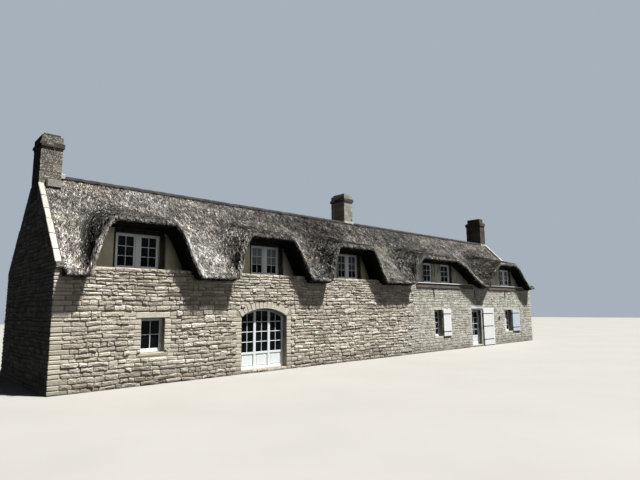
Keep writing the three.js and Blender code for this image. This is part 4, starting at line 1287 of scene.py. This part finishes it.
def layStacks():
    for node, stack in stacks.items():
        draw = random.Random(node)
        plan = x0, x1, y0, y1 = shaftOf(node)
        out, inset = stackLook["bandOut"], stackLook["slabInset"]
        boxes, heights = [], [stack["foot"]]
        for stop in (*stack["ledge"], *stack["band"], stack["top"]):
            span = stop - heights[-1]
            count = max(1, round(span / stackLook["course"]))
            heights += [heights[-1] + span * (i + 1) / count for i in range(count)]
        for i, (z0, z1) in enumerate(zip(heights, heights[1:])):
            grow = draw.uniform(*stackLook["proud"])
            if stack["band"][0] - 0.01 < z0 < stack["band"][1] - 0.01:
                grow, middle = out, z0 + 0.4 * (z1 - z0)
                blockRing(boxes, draw, plan, z0, middle, True, out * 0.35)
                z0 = middle
            blockRing(boxes, draw, plan, z0, z1, i % 2 == 1, grow)
        if stack["ledge"]:
            foot, head = stack["ledge"]
            start, ledgeOut = x0 + stackLook["ledgeFrom"], stackLook["ledgeOut"]
            ledges = [axisBox(start, x1 + 0.01, *across(face, side, ledgeOut, 0), foot + 0.004, head)
                      for face, side in ((y0, 1), (y1, -1))]
            lay(node + "_ledge", ledges, 0.012, 0.005, 102, weatheredGranite)
        middle, slabTop = (y0 + y1) / 2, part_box(node)[1].z + 0.004
        slabXs = (x0 + inset - 0.004, x1 - inset + 0.004)
        for a, b in ((y0 + inset, middle), (middle, y1 - inset)):
            boxes.append(axisBox(*slabXs, a, b - 0.004, stack["top"] - 0.01, slabTop))
        lay(node + "_blocks", boxes, 0.005, 0.0025, 101, stack["stone"])
        coatNode(node, sootAndShadeMortar)
    print("chimneys laid")


layStacks()


# white mortar where the stacks meet the ridge: lumps (reach, height) beside the left one, and a skirt round
# the front of the others
fillets = {
    "frontPieces": 5, "frontHalf": 0.066, "frontOut": 0.05, "sidePieces": 4, "sideStep": 0.2,
    "sideHalf": 0.11, "sideOut": 0.045, "sideHigh": 0.1, "in": 0.01,
    "lumps": ((0.07, 0.17), (0.12, 0.11), (0.19, 0.075)),
}


def layFillets():
    boxes = []
    frontHalf, sideHalf, inside = fillets["frontHalf"], fillets["sideHalf"], fillets["in"]
    draw = random.Random(111)
    for node in ("chimney_middle", "chimney_right"):
        x0, x1, y0, _ = shaftOf(node)
        for i in range(fillets["frontPieces"]):
            x = x0 + (x1 - x0) * (i + 0.5) / fillets["frontPieces"]
            z = ridgeTop - slope * abs(y0) + 0.05 + draw.uniform(-0.01, 0.01)
            top = z + draw.uniform(0.03, 0.06)
            ys = (y0 - fillets["frontOut"], y0 + inside)
            boxes.append(axisBox(x - frontHalf, x + frontHalf, *ys, z - 0.08, top))
        for x, side in ((x0, 1), (x1, -1)):
            if abs(x - rightEnd) < 0.01:
                continue
            for i in range(fillets["sidePieces"]):
                y = y0 + 0.06 + fillets["sideStep"] * i
                z = ridgeTop - slope * abs(y)
                top = z + fillets["sideHigh"] + draw.uniform(-0.015, 0.015)
                xs = across(x, side, fillets["sideOut"], inside)
                boxes.append(axisBox(*xs, y - sideHalf, y + sideHalf, z - fillets["sideHigh"], top))
    x1 = shaftOf("chimney_left")[1]
    for reach, high in fillets["lumps"]:
        half = 0.1 + reach / 3
        boxes.append(axisBox(x1 - inside, x1 + reach, -half, half, ridgeTop - 0.08, ridgeTop + high))
    lay("chimney_fillets", boxes, 0.014, 0.006, 112, freshMortar)


layFillets()


# Windows: frame, casements, glazing bars and panes; depth is counted inwards from the frame's front face
sash = {
    "frame": 0.032, "stile": 0.05, "footRail": 0.065, "bar": 0.02, "mullion": 0.125, "deep": 0.07,
    "casement": (0.012, 0.056), "pane": 0.006, "gap": 0.003, "sillOut": 0.012,
}
# leaves, the columns and rows of panes in each, and how grey its upper panes are, from and to
usualWindow = {"leaves": 2, "columns": 2, "rows": 3, "grey": (0.02, 0.06)}
windows = {
    "dormer_window_1": {}, "dormer_window_2": {"grey": (0.4, 0.6)}, "dormer_window_3": {"grey": (0.1, 0.3)},
    "dormer_window_4a": {"leaves": 1}, "dormer_window_4b": {"leaves": 1},
    "dormer_window_5": {"grey": (0.15, 0.3)}, "dormer_window_back_1": {}, "dormer_window_back_2": {},
    "window_left_small": {"leaves": 1, "rows": 2}, "window_middle": {"leaves": 1, "rows": 4},
    "window_right": {"columns": 1, "rows": 4},
    "window_back_1": {}, "window_back_2": {}, "window_back_3": {},
}


# two uprights with a rail at foot and head, and the opening between them
def frameRound(x0, x1, ys, z0, z1, stile, foot, head, footYs=None):
    inside = (x0 + stile, x1 - stile)
    boxes = [axisBox(x0, inside[0], *ys, z0, z1), axisBox(inside[1], x1, *ys, z0, z1),
             axisBox(*inside, *(footYs or ys), z0, z0 + foot), axisBox(*inside, *ys, z1 - head, z1)]
    return boxes, (*inside, z0 + foot, z1 - head)


# bars that part an opening into columns and rows
def glazingBars(opening, columns, rows, bar, uprightYs, levelYs):
    x0, x1, z0, z1 = opening
    xs = [x0 + (x1 - x0) * i / columns for i in range(1, columns)]
    zs = [z0 + (z1 - z0) * i / rows for i in range(1, rows)]
    return ([axisBox(x - bar / 2, x + bar / 2, *uprightYs, z0, z1) for x in xs]
            + [axisBox(x0, x1, *levelYs, z - bar / 2, z + bar / 2) for z in zs])


def joinery(name, wood, panes, body="house", replaced=(), grey=(0.02, 0.05)):
    lay(name, wood, 0.004, 0.0, 121, joineryPaint, body, replaced)
    heights = [pane[0][2] for pane in panes]
    draw = random.Random(name)
    greys = [0.0 if h < min(heights) + 0.01 else draw.uniform(*grey) for h in heights]
    finishPiece(blocks(name + "_glass", panes, 0.001, 0.0, 122, greys), windowGlass, body)


def makeWindows():
    for node, ownLook in windows.items():
        look = {**usualWindow, **ownLook}
        low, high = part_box(node)
        face, side = facing(node)

        def depth(near, far):
            return across(face, side, -near, far)

        deep, gap, (near, far) = sash["deep"], sash["gap"], sash["casement"]
        edge, stile, footYs = sash["frame"], sash["stile"], depth(-sash["sillOut"], deep)
        wood, inside = frameRound(low.x, high.x, depth(0, deep), low.z, high.z, edge, edge, edge, footYs)
        left, right, foot, head = inside
        mullion = sash["mullion"] if look["leaves"] == 2 else 0.0
        span = (right - left - mullion) / look["leaves"]
        panes = []
        for i in range(look["leaves"]):
            x0 = left + (span + mullion) * i + gap
            x1, z0, z1 = x0 + span - 2 * gap, foot + gap, head - gap
            rails, opening = frameRound(x0, x1, depth(near, far), z0, z1, stile, sash["footRail"], stile)
            wood += rails + glazingBars(opening, look["columns"], look["rows"], sash["bar"],
                                        depth(near + 0.006, far - 0.008), depth(near + 0.007, far - 0.009))
            glassLeft, glassRight, z0, z1 = opening
            middle, half, rows = (near + far) / 2, sash["pane"] / 2, look["rows"]
            ys = depth(middle - half, middle + half)
            for row in range(rows):
                zs = [z0 + (z1 - z0) * (row + k) / rows for k in (0, 1)]
                panes.append(axisBox(glassLeft - 0.005, glassRight + 0.005, *ys, *zs))
        if mullion:
            wood.append(axisBox(left + span, left + span + mullion, *depth(0, deep), foot, head))
        joinery(node + "_joinery", wood, panes, replaced=[node], grey=look["grey"])
    print("windows made")


makeWindows()


# The arched French window: posts, transoms, glazed leaves over solid panels and an arched head
french = {
    "bays": 3, "post": 0.1, "rows": 3, "panelTop": 0.589, "topBar": 1.66, "rail": 0.07, "bar": 0.022,
    "panelEdge": 0.05, "headPieces": 16, "headDeep": 0.035, "postYs": (0, 0.07), "railYs": (0.006, 0.064),
    "panelYs": (0.03, 0.045), "fieldYs": (0.02, 0.045), "uprightYs": (0.018, 0.05), "levelYs": (0.019, 0.049),
    "paneYs": (0.031, 0.037), "headPaneYs": (0.0312, 0.0368),
}


def makeFrenchWindow():
    low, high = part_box("french_window")
    (cx, cz), radius, spread = archCurve()
    post, rail, bar, panelTop = (french[k] for k in ("post", "rail", "bar", "panelTop"))

    def depth(part):
        return [low.y + far for far in french[part]]

    def headAt(x):
        x = min(max(x, low.x + 0.001), high.x - 0.001)
        return cz + math.sqrt(radius ** 2 - (x - cx) ** 2)

    wood, panes = [], []
    span = (high.x - low.x - post) / french["bays"]
    for i in range(french["bays"] + 1):
        x = low.x + i * span
        wood.append(axisBox(x, x + post, *depth("postYs"), low.z, min(headAt(x), headAt(x + post)) - 0.01))
    glassFoot, spring = panelTop + rail, high.z - arch["crownRise"]
    for i in range(french["bays"]):
        x0, x1 = low.x + i * span + post, low.x + (i + 1) * span
        for foot in (low.z, panelTop):
            wood.append(axisBox(x0, x1, *depth("railYs"), foot, foot + rail))
        wood.append(axisBox(x0, x1, *depth("panelYs"), low.z + rail, panelTop))
        edge = french["panelEdge"]
        wood.append(axisBox(x0 + edge, x1 - edge, *depth("fieldYs"), low.z + rail + edge, panelTop - edge))
        middle = (x0 + x1) / 2
        aside = 0.28 if abs(middle - cx) <= 0.1 else math.copysign(0.2, cx - middle)
        top = headAt(middle + aside) - 0.03
        wood.append(axisBox(middle - bar / 2, middle + bar / 2, *depth("uprightYs"), glassFoot, top))
        for row in range(1, french["rows"] + 1):
            z = glassFoot + (french["topBar"] - glassFoot) * row / french["rows"]
            wood.append(axisBox(x0, x1, *depth("levelYs"), z - bar / 2, z + bar / 2))
        panes.append(axisBox(x0 - 0.004, x1 + 0.004, *depth("paneYs"), glassFoot, spring + 0.01))
    deep = french["headDeep"]
    half = spread * radius / french["headPieces"]
    for i in range(french["headPieces"]):
        angle = -spread + 2 * spread * (i + 0.5) / french["headPieces"]
        middle = radius - deep
        centre = (cx + middle * math.sin(angle), low.y + deep, cz + middle * math.cos(angle))
        wood.append((centre, (half + 0.004, deep - 0.001, deep - 0.002), turnAbout(angle, "Y")))
        x = cx + radius * math.sin(angle)
        panes.append(axisBox(x - half, x + half, *depth("headPaneYs"), spring + 0.005, headAt(x) - 0.05))
    joinery("french_window_joinery", wood, panes, replaced=["french_window"])


makeFrenchWindow()


# a round iron eye, open through its middle
def modelRing(outer, inner, height, centre):
    deselectAll()
    bpy.ops.mesh.primitive_cylinder_add(vertices=16, radius=outer, depth=height, end_fill_type="NOTHING",
                                        location=centre)
    ring = bpy.context.object
    ring.data.transform(ring.matrix_world)
    ring.matrix_world = Matrix.Identity(4)
    wall = ring.modifiers.new("wall", "SOLIDIFY")
    wall.thickness = outer - inner
    wall.offset = -1
    makeActive(ring)
    bpy.ops.object.modifier_apply(modifier=wall.name)
    return ring


# The entrance's glazed leaf: two columns of panes over a panel, hung on three butt hinges
glazed = {
    "stile": 0.1, "rows": 4, "columns": 2, "bar": 0.024, "footRail": 0.16, "lockRail": (0.39, 0.48),
    "thick": 0.044, "pinOut": 0.01, "hinges": (0.3, 0.95, 1.65), "hingeHigh": 0.06, "lever": 1.058,
}


def makeGlazedLeaf():
    low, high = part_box("glazed_door_leaf")
    x0, x1, y1 = low.x + 0.016, high.x, high.y - 0.018
    y0 = y1 - glazed["thick"]
    stile, (railFoot, railTop) = glazed["stile"], (low.z + z for z in glazed["lockRail"])
    wood, inside = frameRound(x0, x1, (y0, y1), low.z, high.z, stile, glazed["footRail"], stile)
    left, right, foot, head = inside
    wood += [axisBox(left, right, y0, y1, railFoot, railTop),
             axisBox(left, right, y0 + 0.014, y1 - 0.014, foot, railFoot),
             axisBox(left + 0.06, right - 0.06, y0 + 0.005, y1 - 0.005, foot + 0.04, railFoot - 0.04)]
    opening = (left, right, railTop, head)
    wood += glazingBars(opening, glazed["columns"], glazed["rows"], glazed["bar"], (y0 + 0.006, y1 - 0.006),
                        (y0 + 0.007, y1 - 0.007))
    middle = (y0 + y1) / 2
    pane = axisBox(left - 0.004, right + 0.004, middle - 0.003, middle + 0.003, railTop - 0.004, head + 0.004)
    joinery("glazed_leaf_joinery", wood, [pane], "glazed_door", ["glazed_door_leaf"])
    parts = []
    pinX, pinY = low.x + 0.008, y1 + glazed["pinOut"]
    for height in glazed["hinges"]:
        foot, head = height + 0.0203, height + 0.0203 + glazed["hingeHigh"]
        parts.append(modelRing(0.008, 0.0052, glazed["hingeHigh"], (pinX, pinY, (foot + head) / 2)))
        flap = axisBox(pinX + 0.006, pinX + 0.034, y1 - 0.001, pinY - 0.001, foot, head)
        parts.append(blocks("hinge_flap", [flap], 0.001))
    grip = (glazed["lever"] - 0.008, glazed["lever"] + 0.008)
    plate = axisBox(x1 - 0.065, x1 - 0.035, y0 - 0.006, y0, 0.95, 1.13)
    neck = axisBox(x1 - 0.058, x1 - 0.042, y0 - 0.045, y0 - 0.004, *grip)
    lever = axisBox(x1 - 0.15, x1 - 0.042, y0 - 0.052, y0 - 0.038, *grip)
    parts.append(blocks("lever_handle", [plate, neck, lever], 0.003))
    joinIron("glazed_leaf_furniture", parts, "glazed_door")


makeGlazedLeaf()


# dark boards that line the entrance in front of the glazed leaf: painted shade, a dark sheet in the right
# reveal and under the head
def lineEntrance(half=0.006):
    low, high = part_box("glazed_door_leaf")
    y0, y1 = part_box("door_frame")[0].y + 0.012, low.y - 0.03
    boxes = [axisBox(high.x - 0.002, high.x + 0.008, y0, y1, low.z, high.z - 0.008),
             axisBox(low.x + 0.02, high.x + 0.004, y0, y1, high.z - half, high.z + half)]
    lay("entrance_shade_boards", boxes, 0.0015, 0.0, 133, oakBeam)


lineEntrance()


# Boarded leaves: tongued boards, iron straps that end in an eye round the pintle
leaves = {
    "boarded_door_leaf": {
        "body": "boarded_door", "hinges": (0.3, 1.0, 1.68), "boards": 7, "paint": boardPaint},
    "shutter_middle": {"body": "middle_shutter", "hinges": (0.86, 1.72), "boards": 4, "paint": boardPaint},
    "shutter_right": {"body": "right_shutter", "hinges": (0.84, 1.66), "boards": 5, "paint": bluePaint},
}
strap = {
    "armHeight": 0.0243, "eyeOuter": 0.018, "eyeInner": 0.012, "eyeHeight": 0.044, "half": 0.018,
    "tipHalf": 0.027, "thick": 0.004, "reach": 0.84, "nails": (0.12, 0.45, 0.78), "nailHalf": 0.008,
}


def makeBoardedLeaves(gap=0.002, batten=0.012):
    for node, leaf in leaves.items():
        low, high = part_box(node)
        pinX, pinY = low.x + strap["eyeOuter"], (low.y + high.y) / 2
        x0, last = pinX + 0.022, leaf["boards"] - 1
        width = (high.x - x0) / leaf["boards"]
        boxes = []
        draw = random.Random(node)
        for i in range(leaf["boards"]):
            shift = draw.uniform(0, 0.0015)
            xs = (x0 + i * width + gap * (i > 0), x0 + (i + 1) * width - gap * (i < last))
            boxes.append(axisBox(*xs, low.y + shift, high.y - shift, low.z, high.z))
        ys = (low.y + batten, high.y - batten)
        boxes.append(axisBox(x0 + 0.01, high.x - 0.01, *ys, low.z + 0.01, high.z - 0.01))
        body, paint = leaf["body"], leaf["paint"]
        lay(node + "_boards", boxes, 0.005, 0.0, 131, paint, body, [node])
        parts = []
        tip, face = x0 + (high.x - x0) * strap["reach"], low.y - strap["thick"]
        for height in leaf["hinges"]:
            foot = height + strap["armHeight"]
            middle = foot + strap["eyeHeight"] / 2
            band, end = ((middle - strap[k], middle + strap[k]) for k in ("half", "tipHalf"))
            outer, inner, eyeHigh = strap["eyeOuter"], strap["eyeInner"], strap["eyeHeight"]
            parts.append(modelRing(outer, inner, eyeHigh, (pinX, pinY, middle)))
            iron = [axisBox(pinX + 0.013, x0 + 0.01, pinY - 0.006, pinY + 0.006, foot, foot + eyeHigh),
                    axisBox(x0, tip, face, low.y + 0.002, *band),
                    axisBox(tip - 0.02, tip + 0.05, face, low.y + 0.002, *end),
                    axisBox(x0 - 0.002, x0 + 0.012, face, pinY + 0.006, *band)]
            nail = strap["nailHalf"]
            for x in [x0 + (tip - x0) * share for share in strap["nails"]]:
                iron.append(axisBox(x - nail, x + nail, face - 0.004, low.y, middle - nail, middle + nail))
            parts.append(blocks("strap", iron, 0.002))
        joinIron(node + "_straps", parts, body)
    print("leaves made")


makeBoardedLeaves()


# Dormer timber: dark boards beside and over each window, a pale post at its right, and a sill board
dormerFronts = sorted(node for node in cadNodes if node.startswith("dormer_front"))
dormerTimber = {
    "post": 0.14, "slim": 0.05, "out": 0.05, "boardOut": 0.012, "in": 0.02, "head": 0.25, "gap": 0.004,
    "beyondBoard": 0.03, "betweenPost": (-0.2, -0.06), "betweenBoard": (0.1, 0.22),
    "sill": (-0.004, 0.025), "sillOut": 0.06, "sillIn": 0.03, "sillOver": 0.05,
}


def makeDormerTimber():
    boards, posts, sills = [], [], []
    post, slim, gap = dormerTimber["post"], dormerTimber["slim"], dormerTimber["gap"]
    for node in dormerFronts:
        low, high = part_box(node)
        face, side = facing(node)
        proud, flat = (across(face, side, dormerTimber[k], dormerTimber["in"]) for k in ("out", "boardOut"))
        own = [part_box(w) for w in windows if w.startswith(node.replace("front", "window", 1))]
        first, last, top = own[0][0].x, own[-1][1].x, max(b[1].z for b in own)
        boards.append(axisBox(first - slim - gap, first - gap, *flat, low.z, top))
        postLeft = last + post + dormerTimber["beyondBoard"]
        boards.append(axisBox(last + gap, postLeft - gap, *flat, low.z, top))
        posts.append(axisBox(postLeft, postLeft + slim, *proud, low.z, top))
        for a, b in zip(own, own[1:]):
            middle = (a[1].x + b[0].x) / 2
            for part, ys in (("betweenPost", proud), ("betweenBoard", flat)):
                posts.append(axisBox(*(middle + x for x in dormerTimber[part]), *ys, low.z, top))
        headTop = min(high.z - 0.005, top + dormerTimber["head"])
        boards.append(axisBox(first - slim, last + post, *flat, top, headTop))
        over, sillZs = dormerTimber["sillOver"], [low.z + z for z in dormerTimber["sill"]]
        sillYs = across(face, side, dormerTimber["sillOut"], dormerTimber["sillIn"])
        sills.append(axisBox(first - over, last + over, *sillYs, *sillZs))
    lay("dormer_boards", boards, 0.008, 0.003, 141, oakPost)
    lay("dormer_posts", posts, 0.008, 0.003, 143, palePost)
    lay("dormer_heads", sills, 0.006, 0.003, 142, oakBeam)


makeDormerTimber()


# the oak beams under the last two dormers; their painted sill boards stand proud as far as the given share
sillBeams = {"sill_beam_4": 0.78, "sill_beam_5": 0.8}
sillBoard = {"thick": 0.032, "beamGap": 0.002, "jointGap": 0.004, "ends": 0.05, "proud": 0.04, "back": 0.02}


def makeSillBeams():
    sills = []
    for node, reach in sillBeams.items():
        low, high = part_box(node)
        last, under = low.x + (high.x - low.x) * reach, high.z - sillBoard["thick"]
        beam = axisBox(low.x, high.x, low.y, high.y, low.z, under - sillBoard["beamGap"])
        lay(node + "_oak", [beam], 0.012, 0.004, 151, oakBeam, replaced=[node])
        start, end, gap = low.x + sillBoard["ends"], high.x - sillBoard["ends"], sillBoard["jointGap"]
        sills.append(axisBox(start, last, low.y - sillBoard["proud"], high.y, under, high.z + gap))
        sills.append(axisBox(last + gap, end, low.y - sillBoard["back"], high.y, under, high.z))
    lay("painted_sill_boards", sills, 0.006, 0.002, 152, joineryPaint)


makeSillBeams()


# iron plates that tie the floor beams to the front wall, and the small iron vent by the door
ties = {
    "places": (3.1, 6.9, 10.3), "high": 0.42, "half": 0.0225, "bottom": 2.58, "out": 0.034,
    "boss": (0.18, 0.22), "bossHalf": 0.04, "bossOut": 0.046, "bossIn": 0.01,
}
vent = {"x": 9.47, "z": 1.45, "half": 0.045, "halfHigh": 0.08, "out": 0.024}


def makeWallIron():
    boxes = []
    foot, half, bossHalf = ties["bottom"], ties["half"], ties["bossHalf"]
    plateYs = (frontFace - ties["out"], frontFace)
    bossYs = (frontFace - ties["bossOut"], frontFace - ties["bossIn"])
    bossZs = [foot + z for z in ties["boss"]]
    for x in ties["places"]:
        boxes.append(axisBox(x - half, x + half, *plateYs, foot, foot + ties["high"]))
        boxes.append(axisBox(x - bossHalf, x + bossHalf, *bossYs, *bossZs))
    x, z, half, halfHigh = (vent[k] for k in ("x", "z", "half", "halfHigh"))
    boxes.append(axisBox(x - half, x + half, frontFace - vent["out"], frontFace, z - halfHigh, z + halfHigh))
    lay("wall_ties", boxes, 0.004, 0.001, 161, blackIron)


makeWallIron()

# CAD nodes that keep their shape
kept = {
    "ground_floor": graniteFlags, "upper_floor": oakBoards, "door_frame": joineryPaint,
    "door_lintel": joineryPaint, "boarded_door_pintles": blackIron, "shutter_middle_pintles": blackIron,
    "shutter_right_pintles": blackIron, **{node: creamRender for node in dormerFronts},
    "dormer_front_4": dormerBoards, "dormer_front_5": dormerBoards,
}
for node, material in kept.items():
    coatNode(node, material)
print("timber, iron and kept nodes finished")


# Studio: pale floor, one soft key high on the right, a weak one in front, and one behind for the back
studio = {
    "floor": 160.0, "fill": 0.036, "backdrop": 0.62, "sky": "#cfdbe8", "lamp": "#fdfcf8",
    "key": {"strength": 7.8, "angle": 2.5, "towards": (-0.26, 0.4, -1.0)},
    "front": {"strength": 0.48, "angle": 40.0, "towards": (-0.3, 1.0, -0.2)},
    "rear": {"strength": 2.6, "angle": 12.0, "towards": (-0.3, -1.0, -0.42)},
}


def setStudio():
    deselectAll()
    bpy.ops.mesh.primitive_plane_add(size=studio["floor"], location=(0, 0, -0.002))
    floor = bpy.context.object
    floor.name = "studio_floor"
    material, shader = startMaterial("paleFloor", 0.8)
    shade = patches(material, [(0.3, "#a09e9a"), (0.7, "#a5a39f")], 2500, 3)
    floor.data.materials.append(surfaced(material, shader, shade))
    floor.visible_diffuse = False
    floor.visible_glossy = False
    offFloor = bpy.data.collections.new("litOnTheHouseOnly")
    offFloor.objects.link(floor)
    offFloor.collection_objects[0].light_linking.link_state = "EXCLUDE"
    for name in ("key", "front", "rear"):
        lamp = bpy.data.objects.new(name, bpy.data.lights.new(name, "SUN"))
        lamp.data.energy = studio[name]["strength"]
        lamp.data.angle = math.radians(studio[name]["angle"])
        lamp.data.color = linear(studio["lamp"])[:3]
        lamp.rotation_mode = "QUATERNION"
        lamp.rotation_quaternion = Vector(studio[name]["towards"]).to_track_quat("-Z", "Y")
        lamp.visible_glossy = name == "key"
        if name == "rear":
            lamp.light_linking.receiver_collection = offFloor
        bpy.context.collection.objects.link(lamp)
    bpy.context.scene.view_settings.view_transform = "Standard"
    # the camera sees a brighter backdrop than the one that fills the shadows
    world = bpy.data.worlds.new("studio")
    bpy.context.scene.world = world
    world.use_nodes = True
    seen = addNode(world, "LightPath", out="Is Camera Ray")
    limits = {"Value": seen, "To Min": studio["fill"], "To Max": studio["backdrop"]}
    strength = addNode(world, "MapRange", limits, out="Result")
    background = world.node_tree.nodes["Background"]
    background.inputs["Color"].default_value = linear(studio["sky"])
    world.node_tree.links.new(strength, background.inputs["Strength"])


setStudio()

print("done")
